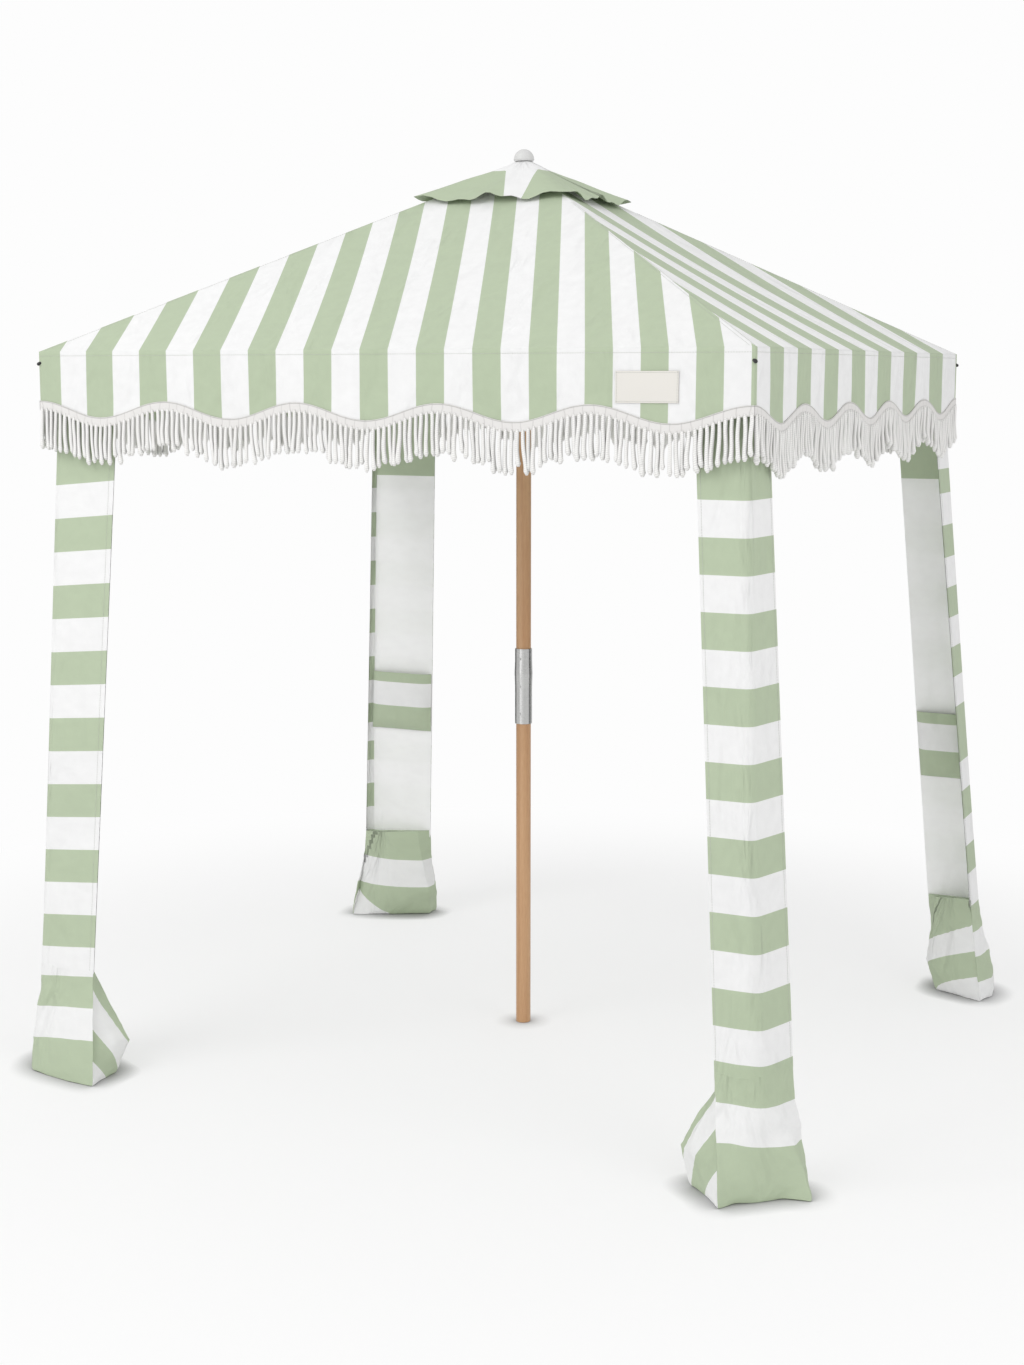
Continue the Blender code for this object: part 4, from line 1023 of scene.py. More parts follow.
def fringe_cords(count: int = 10) -> list[Mesh]:
    """Hanging cords with knotted ends, no two alike."""
    made, sides = [], 6
    for number in range(count):
        rng = random.Random(100 + number)
        length = TENT.fringe * (rng.uniform(0.80, 0.9) if number % 4 == 0 else rng.uniform(0.92, 1.0))
        sway = [rng.uniform(-1, 1) for _ in range(4)]
        rows = []
        for s in spread(12):
            lean = 0.0042 * sway[0] * s + 0.0022 * math.sin(5 * s + 3 * sway[1]) * s**0.5
            deep = 0.0016 * sway[2] * math.sin(4 * s + 3 * sway[3])
            knot = math.exp(-(((s - 0.93) / 0.07) ** 2))
            thick = 0.0046 + 0.0010 * s + 0.0014 * knot
            thick *= 0.45 if s == 1.0 else 0.7 if s == 0.0 else 1.0
            rows.append((Vector((lean, deep, 0.004 - (length + 0.004) * s)), thick))
        made.append(tube(f"cord_{number}", rows, sides, (Vector((1, 0, 0)), Vector((0, 0.85, 0)))))
    return made


def stitch() -> Mesh:
    """One lockstitch, a little sunk at both ends."""
    rows = [(Vector((0.0021 * s, 0, 0)), 0.00052 * (1 - 0.5 * s * s)) for s in (-1, -0.5, 0.5, 1)]
    return tube("stitch", rows, 4, (Vector((0, 1, 0)), Vector((0, 0, 1))))


@dataclass
class Roof:
    """The canopy's roof: one sagging sheet that is cut where its ribs swing apart."""

    finishes: Finishes
    thread: Repeat

    def point(self, corner: Corner, face: Face, along: float, share: float) -> Vector:
        """A point of the roof.

        Args:
            corner: the corner of this part of the roof.
            face: the wide or the side face.
            along: 0 at the rib, 1 in the middle of the face.
            share: 0 at the apex, 1 at the eave.

        Returns:
            The point on the upper side of the cloth.
        """
        wide, deep = TENT.half_width * share, TENT.half_depth * share
        if face is Face.WIDE:
            wide *= 1 - along
        else:
            deep *= 1 - along
        slack = math.sin(math.pi * within(share)) * math.sin(math.pi * within(along) / 2) ** 2
        height = TENT.apex - TENT.rise * share - TENT.sag * slack
        return Vector((corner.x * wide, corner.y * deep, height))

    def build(self) -> None:
        """Builds and dresses the eight parts of the roof."""
        for corner in Corner:
            for face in Face:
                self._part(corner, face)

    def _part(self, corner: Corner, face: Face) -> None:
        """One half face of the roof, from its rib to the middle."""
        start, fold = TENT.vent_share, 0.006
        wide = face is Face.WIDE
        slope = math.hypot(TENT.half(face.other), TENT.rise)
        lean = (corner.x * TENT.rise / TENT.half_width, corner.y * TENT.rise / TENT.half_depth, 1)
        hip_out = Vector(lean).normalized()

        def point(u: float, v: float) -> Vector:
            return self.point(corner, face, u, v)

        def phase(u: float, v: float) -> float:
            place = point(u, v)
            return TENT.stripe(corner, face, place.x, place.y)

        def chart(u: float, v: float) -> Pair:
            place = point(u, v)
            return (place.x if wide else place.y), slope * v

        def folded(u: float, v: float, out: Vector) -> Vector:
            if v > 0.9999:
                out = out + face.outward(corner)
            if u < 0.0001:
                out = out * 0.4 + hip_out * 0.6
            return out

        plan = Sheet(
            f"roof_cloth_{corner.label}_{face.value}",
            point,
            chart,
            phase,
            lambda _: UP,
            [0.0, 0.007, *spread(16, 0.03, 1.0)],
            [*spread(18, start, 0.985), 1 - fold / TENT.half_width, 1.0],
            TENT.roof_cloth,
            [self.finishes.canvas],
            normal=folded,
        )
        thing = plan.build()
        plan.declare(thing, (TENT.half(face), slope))
        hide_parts(f"roof_{corner.label}")
        self._fold(thing, corner, face)
        hip = [point(0.010 + 0.006 * (1 - v), v) + UP * 0.0004 for v in spread(30, start + 0.13, 0.992)]
        self._fold(self.thread.along(f"roof_stitches_{corner.label}_{face.value}", [hip]), corner, face)
        LOG.info("%s: half %s face of the roof on its rib", thing.name, face.value)

    def _fold(self, thing: Object, corner: Corner, face: Face) -> None:
        """Hangs the cloth on its rib, with a mesh of its own."""
        span = face.other.outward(corner)
        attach(thing, f"rib_{corner.label}")
        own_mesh(thing)


@dataclass
class Valance:
    """The hanging skirt round the eave, its cotton tape, its fringe and the patch on the front."""

    finishes: Finishes
    thread: Repeat
    slow_wave: float = 0.0022
    fast_wave: float = 0.0035

    def waves(self, corner: Corner, face: Face, along: float, fall: float) -> float:
        """How far the skirt stands out.

        Args:
            corner: the corner of this half side.
            face: the wide or the side face.
            along: 0 in the middle of the face, 1 at the corner.
            fall: share of the way down the skirt.

        Returns:
            The distance, 0 along the eave and at the corner.
        """
        signed = along * TENT.half(face) * (corner.x if face is Face.WIDE else corner.y)
        seed = 3.0 + (corner.y if face is Face.WIDE else 5.0 * corner.x)
        free = min(1.0, (1 - along) * 9) if along < 1 else 0.0
        slow = math.sin(9.0 * signed + seed) + 0.6 * math.sin(21.0 * signed + 2 * seed)
        fast = slack_noise(Vector((signed, fall * 0.15, seed)), 0.09, seed)
        return free * fall * (self.slow_wave * slow + self.fast_wave * fast)

    def point(self, corner: Corner, face: Face, along: float, height: float, out: float = 0.0) -> Vector:
        """A point of the skirt's outer face.

        Args:
            corner: the corner of this half side.
            face: the wide or the side face.
            along: 0 in the middle of the face, 1 at the corner.
            height: above the ground.
            out: distance in front of the cloth.

        Returns:
            The point.
        """
        fall = within((TENT.eave - height) / (TENT.drop + TENT.scallop), 1.2)
        stand = self.waves(corner, face, along, fall) + out
        end = out if along > 0.9999 else 0
        wide, deep = TENT.half_width, TENT.half_depth
        if face is Face.WIDE:
            return Vector((corner.x * (wide + end) * along, corner.y * (deep + stand), height))
        return Vector((corner.x * (wide + stand), corner.y * (deep + end) * along, height))

    def build(self) -> None:
        """Builds and dresses the skirt, tape and fringe of the eight half sides."""
        cords = Repeat(
            "fringe_cords",
            fringe_cords(),
            self.finishes.cord,
            TENT.cord_spacing,
            ((-0.05, -0.05, -0.5), (0.03, 0.05, 0.5)),
            ((0.88, 0.9, 0.94), (1.12, 1.05, 1.03)),
        )
        for corner in Corner:
            for face in Face:
                skirt = self._skirt(corner, face)
                tape = self._tape(corner, face)
                fringe = self._fringe(corner, face, cords)
                for thing, node in ((skirt, "valance"), (tape, "fringe"), (fringe, "fringe")):
                    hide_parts(f"{node}_{corner.label}")
                    self.fold(thing, corner, face)
                self.fold(self._seams(corner, face), corner, face)
                LOG.info("%s, %s and %s on their leg's top", skirt.name, tape.name, fringe.name)
        cords.clear()
        Patch(self.finishes).build(self)

    def _fringe(self, corner: Corner, face: Face, cords: Repeat) -> Object:
        """The cords of half a side."""
        gap = cords.spacing / TENT.half(face)
        line = []
        for s in spread(60, 0.5 * gap, 1 - 0.4 * gap):
            height = TENT.hem(s) - TENT.tape_over + 0.002
            line.append(self.point(corner, face, s, height, 0.0012))
        seed = 11 + 7 * list(Corner).index(corner) + (3 if face is Face.SIDE else 0)
        return cords.along(f"fringe_strands_{corner.label}_{face.value}", [line], seed)

    def _seams(self, corner: Corner, face: Face) -> Object:
        """Two rows of stitches on the tape and one under the eave."""
        lines = []
        for over in (0.0016, TENT.tape - 0.0016):
            heights = [(s, TENT.hem(s) - TENT.tape_over + over) for s in spread(60, 0.001, 0.998)]
            lines.append([self.point(corner, face, s, height, 0.0019) for s, height in heights])
        eave = TENT.eave - 0.010
        lines.append([self.point(corner, face, s, eave, 0.0003) for s in spread(40, 0.001, 0.995)])
        return self.thread.along(f"valance_stitches_{corner.label}_{face.value}", lines)

    def fold(self, thing: Object, corner: Corner, face: Face) -> None:
        """Hangs a piece of the skirt on its leg's top, with a mesh of its own."""
        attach(thing, f"leg_{corner.label}")
        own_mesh(thing)

    def _skirt(self, corner: Corner, face: Face) -> Object:
        """Half a side of the hanging skirt."""
        wide, half = face is Face.WIDE, TENT.half(face)

        def height(u: float, v: float) -> float:
            return TENT.eave + (TENT.hem(u) - TENT.eave) * v

        def phase(u: float, v: float) -> float:
            x = TENT.half_width * u if wide else TENT.half_width
            y = TENT.half_depth if wide else TENT.half_depth * u
            return TENT.stripe(corner, face, corner.x * x, corner.y * y)

        def folded(u: float, v: float, out: Vector) -> Vector:
            if v < 0.0001:
                out = out + UP * 0.5
            if u > 0.9999:
                out = out + face.other.outward(corner) * 0.45
            return out

        plan = Sheet(
            f"valance_cloth_{corner.label}_{face.value}",
            lambda u, v: self.point(corner, face, u, height(u, v)),
            lambda u, v: (half * u, height(u, v)),
            phase,
            lambda _: face.outward(corner),
            [*spread(59, 0.0, 0.992), 1.0],
            [0.0, 0.035, *spread(9, 0.10, 1.0)],
            TENT.roof_cloth,
            [self.finishes.canvas],
            normal=folded,
        )
        thing = plan.build()
        plan.declare(thing, (half, TENT.drop + TENT.scallop))
        return thing

    def _tape(self, corner: Corner, face: Face) -> Object:
        """The tape that binds the hem and carries the fringe."""
        half, thickness = TENT.half(face), 0.0014

        def point(u: float, v: float) -> Vector:
            return self.point(corner, face, u, TENT.hem(u) - TENT.tape_over + v, thickness + 0.0002)

        plan = Sheet(
            f"fringe_tape_{corner.label}_{face.value}",
            point,
            lambda u, v: (half * u, v),
            lambda u, v: WHITE,
            lambda _: face.outward(corner),
            spread(60),
            spread(3, 0.0, TENT.tape),
            thickness,
            [self.finishes.tape],
        )
        thing = plan.build()
        plan.declare(thing, (half, TENT.tape * 1.18))
        return thing


@dataclass
class Patch:
    """A blank rectangular patch sewn on the front skirt."""

    finishes: Finishes
    width: float = 0.140
    height: float = 0.065
    thickness: float = 0.0012
    from_middle: float = 0.668
    below_eave: float = 0.0795
    seam: float = 0.003

    def build(self, valance: Valance) -> None:
        """Builds and dresses the patch."""
        corner, face = Corner.FRONT_RIGHT, Face.WIDE
        centre = TENT.eave - self.below_eave

        def point(u: float, v: float) -> Vector:
            along = (self.from_middle + u) / TENT.half_width
            bow = 0.0012 * math.cos(math.pi * u / self.width) * math.cos(math.pi * v / self.height)
            return valance.point(corner, face, along, centre + v, self.thickness + 0.0008 + bow)

        plan = Sheet(
            "blank_patch",
            point,
            lambda u, v: (u, v),
            lambda u, v: WHITE,
            lambda _: face.outward(corner),
            spread(14, -self.width / 2, self.width / 2),
            spread(8, -self.height / 2, self.height / 2),
            self.thickness,
            [self.finishes.patch],
        )
        thing = plan.build()
        plan.declare(thing, (self.width, self.height))
        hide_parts("front_patch")
        valance.fold(thing, corner, face)
        wide, tall = self.width / 2 - self.seam, self.height / 2 - self.seam
        corners = [(-wide, -tall), (wide, -tall), (wide, tall), (-wide, tall), (-wide, -tall)]
        lines = []
        for (u0, v0), (u1, v1) in zip(corners, corners[1:]):
            line = [point(u0 + (u1 - u0) * s, v0 + (v1 - v0) * s) for s in spread(8)]
            lines.append([place - Vector((0, 0.0002, 0)) for place in line])
        valance.fold(valance.thread.along("patch_stitches", lines), corner, face)
        LOG.info("%s on the front skirt", thing.name)


@dataclass
class VentCap:
    """The small loose roof over the vent."""

    finishes: Finishes
    hole: float = 0.0044
    reach: float = TENT.half_depth * TENT.cap_share

    def point(self, turn: float, share: float) -> Vector:
        """A point of the cap.

        Args:
            turn: place round the pole, 1 for once round.
            share: 0 at the finial, 1 at the hem.

        Returns:
            The point on the upper side of the cloth.
        """
        angle = math.tau * turn
        cosine, sine = math.cos(angle), math.sin(angle)
        square = 1 / max(abs(cosine), abs(sine))
        roundness = square ** min(1.0, 2 * max(share, 0))
        x = TENT.half_width * TENT.cap_share * share * roundness * cosine
        y = TENT.half_depth * TENT.cap_share * share * roundness * sine
        top = TENT.crown_top + 0.0015
        hem = TENT.apex - TENT.rise * TENT.cap_share + TENT.cap_lift
        level = TENT.cap_level / self.reach
        slope = max(0.0, share - level) / (1 - level)
        ripple = 0.007 * share**3 * math.cos(8 * angle)
        fine = 0.004 * share**3 * math.sin(19 * angle + 1.0)
        return Vector((x, y, top - (top - hem) * slope + ripple + fine))

    def phase(self, turn: float, share: float) -> float:
        """Stripe number: green, with a white middle and a white flap that folds over in front."""
        place = self.point(turn, share)
        aside = place.x + 0.453 * place.y
        flap = min(aside + 0.047, 0.06 * (1 - share) - aside) if place.y < 0 else -1.0
        return 3 + min(max((0.33 - share) / 0.2, flap / 0.03, -0.9), 0.9)

    def build(self) -> None:
        """Builds and dresses the cap."""
        plan = Sheet(
            "vent_cap_cloth",
            self.point,
            lambda u, v: (u * 4 * self.reach, v * self.reach),
            self.phase,
            lambda _: UP,
            spread(96)[:-1],
            [self.hole / self.reach, *spread(14, TENT.cap_level / self.reach, 1.0)],
            0.0012,
            [self.finishes.canvas],
            wrap=True,
        )
        thing = plan.build()
        side = 2 * TENT.half_width * TENT.cap_share
        plan.declare(thing, (side * 1.12, side))
        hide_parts("vent_cap")
        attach(thing, "upper_pole")
        LOG.info("%s on the crown", thing.name)


@dataclass
class ClothLeg:
    """One cloth leg with its storage pocket and its sand pocket."""

    corner: Corner
    finishes: Finishes
    thread: Repeat
    knee_sag: float = 0.009
    pocket_sag: float = 0.022
    store_gap: float = 0.0022
    crease: float = 0.0062
    groove: float = 0.0025
    tuck_start: float = 0.93
    tuck: float = 0.003

    @property
    def plan(self) -> LegPlan:
        """The leg's own edges."""
        return LEGS[self.corner]

    def placed(self, inward: Vector, height: float) -> Vector:
        """A world point from inward distances at a height."""
        share = 1 - height / TENT.eave
        x = TENT.half_width + self.plan.spread[0] * share - TENT.leg_inset
        y = TENT.half_depth + self.plan.spread[1] * share - TENT.leg_inset
        return Vector((self.corner.x * (x - inward[0]), self.corner.y * (y - inward[1]), height))

    def edges_at(self, height: float) -> list[Vector]:
        """The free edges of the wide face and of the side face at a height."""
        low = 1 - height / TENT.eave
        full = below(height, TENT.pocket_height)
        ends = (self.plan.base[0], self.plan.base[-1])
        lines = zip(self.plan.eave, self.plan.ground, ends, TENT.edge_flares)
        return [Vector(a).lerp(Vector(b), low).lerp(Vector(end), full**flare) for a, b, end, flare in lines]

    def outline(self, height: float, s: float) -> Vector:
        """The leg's outer line at a height.

        Args:
            height: above the ground.
            s: 0 at the wide face's free edge, 1 at the side face's.

        Returns:
            Inward distances from the leg's corner.
        """
        wide, side = self.edges_at(height)
        low = below(height, TENT.knee)
        full = below(height, TENT.pocket_height)
        radius = TENT.radius_at(height)
        swell = 0.5 * math.sin(math.pi * full**2.1)
        bulge = TENT.leg_bulge * low**2 * (1 - full) + (TENT.pocket_bulge - TENT.leg_bulge) * swell
        turns = [edge * min(radius, edge.length / 2) / edge.length for edge in (wide, side)]
        if s < 1 / 3:
            place, along = wide.lerp(turns[0], 3 * s), turns[0] - wide
        elif s > 2 / 3:
            place, along = turns[1].lerp(side, 3 * s - 2), side - turns[1]
        else:
            t = 3 * s - 1
            place = turns[0] * (1 - t) ** 2 + turns[1] * t**2
            along = turns[1] * t - turns[0] * (1 - t)
        along = along.normalized()
        out = Vector((-along.y, along.x))
        if full > 0:
            base = [Vector(point) for point in self.plan.base]
            at = within(s) * (len(base) - 1)
            n = min(int(at), len(base) - 2)
            place = place.lerp(base[n].lerp(base[n + 1], at - n), full**self.plan.flare)
        return place + out * bulge * math.sin(math.pi * within(s))

    def stripe_at(self, inward: Vector, height: float) -> float:
        """Stripe number of the strip's cloth."""
        rise = self.plan.tilt_share * (inward[0] - self.plan.eave[0][0] / 2)
        low, full = below(height, TENT.knee), below(height, TENT.pocket_height)
        limit = self.knee_sag * low + self.pocket_sag * full + 0.0001
        turn = max(inward[1] - self.edges_at(height)[0][1], 0.0)
        sag = limit * (1 - math.exp(-self.plan.level * turn / limit))
        return max(between(self.plan.bands, height - rise + sag), self.plan.first)

    def outside(self, place: Vector) -> Vector:
        """The way out of the leg's folded strip."""
        wide, side = self.edges_at(place.z)
        away = place - self.placed(wide + side, place.z)
        return Vector((away.x, away.y, 0))

    def point(self, s: float, height: float) -> Vector:
        """A point of the leg's outer face."""
        return self.placed(self.outline(height, s), height)

    def build(self) -> None:
        """Builds and dresses the leg and its pockets."""
        self._strip()
        self._store()
        self._sand()

    def _strip(self) -> None:
        """The folded strip from the roof down to the sand pocket."""
        label = self.corner.label
        top = TENT.eave + TENT.rise * TENT.leg_inset / TENT.half_width - 0.003
        notch, notch_height = 0.07, 1.700
        plan = Sheet(
            f"leg_cloth_{label}",
            self.point,
            lambda u, v: (u * 0.3, v),
            lambda u, v: self.stripe_at(self.outline(v, u), v),
            self.outside,
            [*spread(8, 0.0, 1 / 3), *spread(8, 1 / 3, 2 / 3)[1:], *spread(8, 2 / 3, 1.0)[1:]],
            spread(56, TENT.pocket_height - 0.004, top),
            TENT.leg_cloth,
            [self.finishes.canvas, self.finishes.lining],
            inner=lambda u, v: 1 if u < 0.5 else 0,
            keep=lambda u, v: not (abs(u - 0.5) < notch and v > notch_height),
        )
        thing = plan.build()
        wide, side = self.edges_at(TENT.knee)
        flat = (wide.length + side.length + 0.01, top - TENT.pocket_height)
        plan.declare(thing, flat)
        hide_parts(f"leg_upper_{label}", f"leg_lower_{label}")
        lines = []
        for s in (0.03, 0.97):
            seam = [self.point(s, height) for height in spread(40, TENT.pocket_height + 0.004, top - 0.02)]
            lines.append([place + self.outside(place).normalized() * 0.0004 for place in seam])
        stitches = self.thread.along(f"leg_stitches_{label}", lines)
        knee = self.placed(Vector((0, 0)), TENT.knee)
        for piece in (thing, stitches):
            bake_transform(piece)
        LOG.info("%s across its knee", thing.name)

    def _store(self) -> None:
        """The storage pocket inside the wide face."""
        label = self.corner.label
        bottom = TENT.store_top - TENT.store_height

        def point(u: float, v: float) -> Vector:
            height = bottom + TENT.store_height * v
            edge = self.edges_at(height)[0]
            along = edge.normalized()
            inward = Vector((-along.y, along.x))
            start = TENT.store_margin
            width = edge.length - 0.002 - start
            low = below(height, TENT.knee)
            back = TENT.leg_cloth + 0.0003 - TENT.leg_bulge * low**2 / 4
            side = 1 - (2 * within(u) - 1) ** 6
            base = min(1.0, max(v, 0) * 7) ** 0.5
            depth = TENT.store_depth * (0.8 + 0.2 * math.sin(math.pi * within(v))) * side * base
            sag = 0.0015 * slack_noise(Vector((u, v, 0)), 0.3, 4.0)
            radius = TENT.radius_at(height)
            across = max(start + width * u, 0.0)
            rounding = radius * (1 - math.sqrt(min(across / radius, 1.0))) ** 2
            deep = back + self.store_gap + depth + sag + rounding
            return self.placed(along * across + inward * deep, height)

        def phase(u: float, v: float) -> float:
            """Stripe number: green hem, white, green."""
            fall = TENT.store_height * (1 - v)
            hem, white = TENT.store_bands
            if fall < hem:
                return 0.5 + fall / hem * 0.5
            if fall < white:
                return 1 + (fall - hem) / (white - hem)
            return 2 + 0.8 * (fall - white) / (TENT.store_height - white)

        plan = Sheet(
            f"storage_pocket_cloth_{label}",
            point,
            lambda u, v: (u * 0.15, v * TENT.store_height),
            phase,
            lambda _: Vector((0, -self.corner.y, 0)),
            spread(20),
            [0.0, 0.02, 0.05, 0.09, *spread(14, 0.14, 1.0)],
            0.0015,
            [self.finishes.canvas],
        )
        thing = plan.build()
        tall = TENT.store_height + 0.02
        flat = (max(self.edges_at(bottom)[0].length, plan.area() / tall) * 1.02, tall)
        plan.declare(thing, flat)
        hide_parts(f"storage_pocket_{label}")
        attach(thing, f"lower_leg_{label}")
        LOG.info("%s inside its leg", thing.name)

    def _ring(self, part: str, share: float, height: float) -> Vector:
        """A point of the sand pocket's outline at a height.

        Args:
            part: the outer face, the inner wall or the gusset between the wall's ear and the face.
            share: place along that part.
            height: above the ground.

        Returns:
            Inward distances from the leg's corner.
        """
        if part == "face":
            return self.outline(height, share)
        wide, side = self.edges_at(height)
        low = below(height, TENT.pocket_height)
        top_wide = self.edges_at(TENT.pocket_height)[0]
        mouth = top_wide * (1 - TENT.pocket_mouth / top_wide.length) + Vector((0, TENT.pocket_mouth))
        full, foot = (Vector(ear) for ear in self.plan.ears)
        peak = TENT.pocket_full_share
        swell = (low / peak) ** self.plan.ear_curve if low < peak else (1 - low) / (1 - peak)
        ear = mouth.lerp(foot, low) + (full - mouth.lerp(foot, peak)) * swell
        if part == "gusset":
            hollow = Vector((-0.5, 0.5)) * 0.02 * math.sin(math.pi * share) * (0.4 - swell)
            return ear.lerp(wide, share) + hollow
        near = 2 * TENT.pocket_mouth
        far = TENT.pocket_foot_belly - near
        belly = near + far * low + (TENT.pocket_belly - near - far * peak) * math.sin(swell * math.pi / 2)
        bend = Vector((belly, belly))
        return side * (1 - share) ** 2 + bend * 2 * share * (1 - share) + ear * share**2

    def _sand_stripe(self, part: str, share: float, flat: Vector, height: float) -> float:
        """Stripe number of a point of the sand pocket.

        Args:
            part: face, wall or gusset.
            share: place along that part.
            flat: inward distances of the point.
            height: above the ground.

        Returns:
            The number, even for green and odd for white.
        """
        if part == "face":
            return min(self.stripe_at(flat, height), 18.9)
        if part == "gusset" and self.plan.gusset:
            fullest = TENT.pocket_height * (1 - TENT.pocket_full_share)
            here, reach = (
                (self._ring(part, 0.0, at) - self._ring(part, 1.0, at)).length for at in (height, fullest)
            )
            aside = (1 - share) * here / reach
            return between(self.plan.gusset, (height + self.plan.gusset_fall * aside) / (1 - 0.32 * aside))
        share = share if part == "wall" else 1.0
        number = between(self.plan.wall, height + self.plan.wall_drop * share)
        rise, reach = self.plan.white_corner
        if not rise:
            return number
        corner = (rise * (1 - share / reach) - height) / 0.02
        return max(number, 19 + min(corner, 0.9)) if corner > -0.9 else number

    def _sand_point(self, part: str, share: float, flat: Vector, down: float) -> tuple[Vector, float]:
        """A point of the sand pocket's full, creased cloth.

        Args:
            part: face, wall, gusset or the groove between two of them.
            share: place along that part.
            flat: inward distances of the smooth outline.
            down: 0 at the pocket's mouth, 1 on the ground.

        Returns:
            The point and its direction from the pocket's middle.
        """
        height = TENT.pocket_height * (1 - down)
        place = self.placed(flat, height)
        if part in ("wall", "gusset"):
            at_side, at_wide = self.plan.mouth_rise
            far = share if part == "wall" else 1.0
            place.z += (at_side + (at_wide - at_side) * far) * max(0.0, 1 - down / 0.4) ** 2
        away = (place - self.placed(SAND_MIDDLE, height)).normalized()
        fold = slack_noise(place, 0.055, 6.0) + 0.5 * slack_noise(place, 0.021, 2.0)
        place = place + away * self.crease * fold * math.sin(math.pi * down) ** 0.6
        if part == "groove":
            place = place - away * self.groove
        if down > self.tuck_start:
            tuck = (down - self.tuck_start) / 0.07
            place = place - away * self.tuck * tuck**2
            place.z += (0.001 + 0.006 * abs(slack_noise(place * Vector((1, 1, 0)), 0.07, 9.0))) * tuck
        return place, math.atan2(away.y, away.x)

    def _sand(self) -> None:
        """The sand-filled pocket at the foot."""
        label = self.corner.label
        parts = [("face", n / 24) for n in range(25)]
        parts += [("groove", 1.0)] + [("wall", n / 18) for n in range(19)]
        parts += [("gusset", n / 10) for n in range(11)] + [("groove", 0.0)]
        downs = [*spread(26, 0.0, self.tuck_start), 0.965, 0.985, 1.0]
        points, stripes, charts = [], [], []
        for down in downs:
            height = TENT.pocket_height * (1 - down)
            for part, share in parts:
                side = "face" if part == "groove" else part
                flat = self._ring(side, share, height)
                if part != "groove" and share in (0.0, 1.0):
                    flat = flat.lerp(self._ring(part, 0.5, height), 0.004)
                place, turn = self._sand_point(part, share, flat, down)
                points.append(place)
                stripes.append(self._sand_stripe(side, share, flat, height))
                charts.append((turn * 0.09, height))
        around = len(parts)
        for place in points[-around:]:
            points.append(self.placed(SAND_MIDDLE, 0.0).lerp(Vector((place.x, place.y, 0.0)), 0.8))
        stripes += stripes[-around:]
        charts += charts[-around:]
        faces = [cell(r, c, around) for r in range(len(downs)) for c in range(around)]
        faces.append([len(downs) * around + c for c in range(around)])
        faces.append(list(reversed(range(around))))
        used = bmesh.new()
        verts = [used.verts.new(point) for point in points]
        for quad in faces:
            used.faces.new([verts[n] for n in quad])
        bmesh.ops.recalc_face_normals(used, faces=used.faces)
        mesh = bpy.data.meshes.new(f"sand_pocket_cloth_{label}")
        used.to_mesh(mesh)
        used.free()
        mesh.materials.append(self.finishes.pocket)
        dye(mesh, stripes, charts)
        mesh.shade_smooth()
        mesh.set_sharp_from_angle(angle=math.radians(50))
        thing = in_scene(mesh.name, mesh)
        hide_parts(f"sand_pocket_{label}")
        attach(thing, f"lower_leg_{label}")
        LOG.info("%s at the foot of its leg", thing.name)


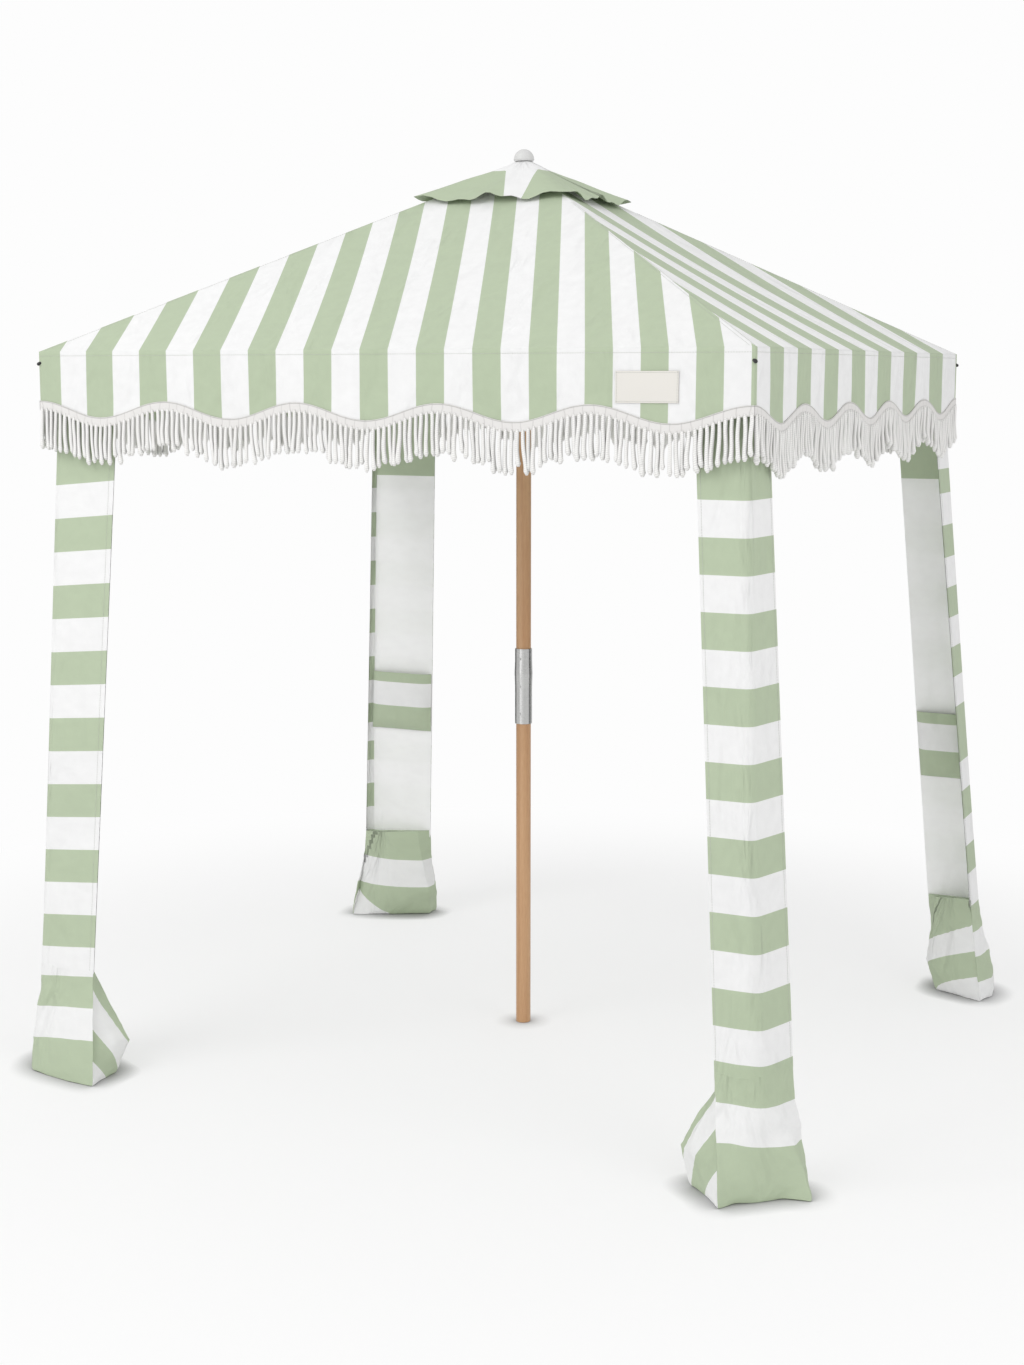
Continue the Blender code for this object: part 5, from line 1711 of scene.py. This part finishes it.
@dataclass(frozen=True)
class Studio:
    """A pale photo studio with soft light from the front left."""

    place: Triple = (2.2951, -4.6218, 1.6851)
    pitch: float = math.pi / 2 - 0.1499
    heading: float = 0.4667
    lens: float = 53.3
    sensor: float = 36.0
    backdrop: str = "FDFDFD"
    floor_reach: float = 40.0
    world_light: float = 0.79

    def build(self) -> None:
        """Sets the camera, the floor, the lights and the world."""
        self._camera()
        far = self.floor_reach
        corners = [(-far, -far, 0), (far, -far, 0), (far, far, 0), (-far, far, 0)]
        self._card("studio_floor", corners, StudioFloor())
        self._light("key", (-2.2, -4.0, 4.9), (0, 0, 1.0), 3.2, 98.0)
        self._light("fill", (4.5, -2.0, 3.2), (0.4, 0, 0.9), 3.0, 42.0)
        self._light("front", (-0.4, -5.6, 0.9), (0.6, 0.8, 0.7), 2.0, 17.0)
        self._flag("flag_right", (2.63, 1.82, 0.95), 2.0)
        self._flag("flag_left", (-3.2, 1.39, 0.95), 3.0)
        self._world()
        LOG.info("studio, camera and light")

    def _camera(self) -> None:
        """The photo's view."""
        data = bpy.data.cameras.new("camera")
        data.lens = self.lens
        data.sensor_width = self.sensor
        data.sensor_fit = "AUTO"
        data.clip_end = 100.0
        thing = in_scene("camera", data)
        thing.location = self.place
        thing.rotation_euler = (self.pitch, 0.0, self.heading)
        bpy.context.scene.camera = thing

    def _card(self, name: str, corners: Sequence[Triple], finish: Finish) -> Object:
        """One flat piece of the studio."""
        mesh = bpy.data.meshes.new(name)
        mesh.from_pydata(corners, [], [(0, 1, 2, 3)])
        mesh.materials.append(finish.build())
        return in_scene(name, mesh)

    def _flag(self, name: str, place: Triple, width: float) -> None:
        """A dark upright card that only shows in reflections, for the dark edges of round metal."""
        across, tall = width / 2, 1.3
        corners = [(-across, 0, -tall), (across, 0, -tall), (across, 0, tall), (-across, 0, tall)]
        thing = self._card(name, corners, BlackCard())
        thing.location = place
        thing.rotation_euler = (0.0, 0.0, math.atan2(place[1], place[0]) + math.pi / 2)
        for kind in ("camera", "diffuse", "shadow", "transmission"):
            setattr(thing, f"visible_{kind}", False)

    def _light(self, name: str, place: Triple, aim: Triple, size: float, power: float) -> None:
        """A soft square light.

        Args:
            name: name of the light.
            place: its middle.
            aim: the point that it looks at.
            size: length of a side.
            power: in watts.
        """
        data = bpy.data.lights.new(name, "AREA")
        data.size = size
        data.energy = power
        thing = in_scene(name, data)
        thing.location = place
        thing.rotation_euler = (Vector(aim) - Vector(place)).to_track_quat("-Z", "Y").to_euler()

    def _world(self) -> None:
        """Even white light, and a paler white where the camera looks past the floor."""
        world = bpy.data.worlds.new("studio")
        world.use_nodes = True
        bpy.context.scene.world = world
        tree = world.node_tree
        lit = tree.nodes["Background"]
        connect(tree, lit, {"Color": linear("FFFFFF"), "Strength": self.world_light})
        seen = add_node(tree, "ShaderNodeBackground", {"Color": linear(self.backdrop), "Strength": 1.0})
        path = add_node(tree, "ShaderNodeLightPath").outputs["Is Camera Ray"]
        join_shaders(tree, path, lit, seen, "World Output")


def main() -> None:
    """Builds the tent's pieces in order."""
    logging.basicConfig(level=logging.INFO, format="%(name)s: %(message)s")
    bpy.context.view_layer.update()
    finishes = Finishes()
    finishes.dress_hardware()
    LOG.info("finishes of the pole, the crown and the frame")
    thread = Repeat("stitches", [stitch()], finishes.thread, 0.0058, follow=True)
    Roof(finishes, thread).build()
    Valance(finishes, thread).build()
    VentCap(finishes).build()
    for corner in Corner:
        ClothLeg(corner, finishes, thread).build()
    thread.clear()
    Studio().build()
    bpy.context.scene.view_settings.view_transform = "Standard"
    LOG.info("size of the CAD box and of the finished tent written")


if __name__ == "__main__":
    main()
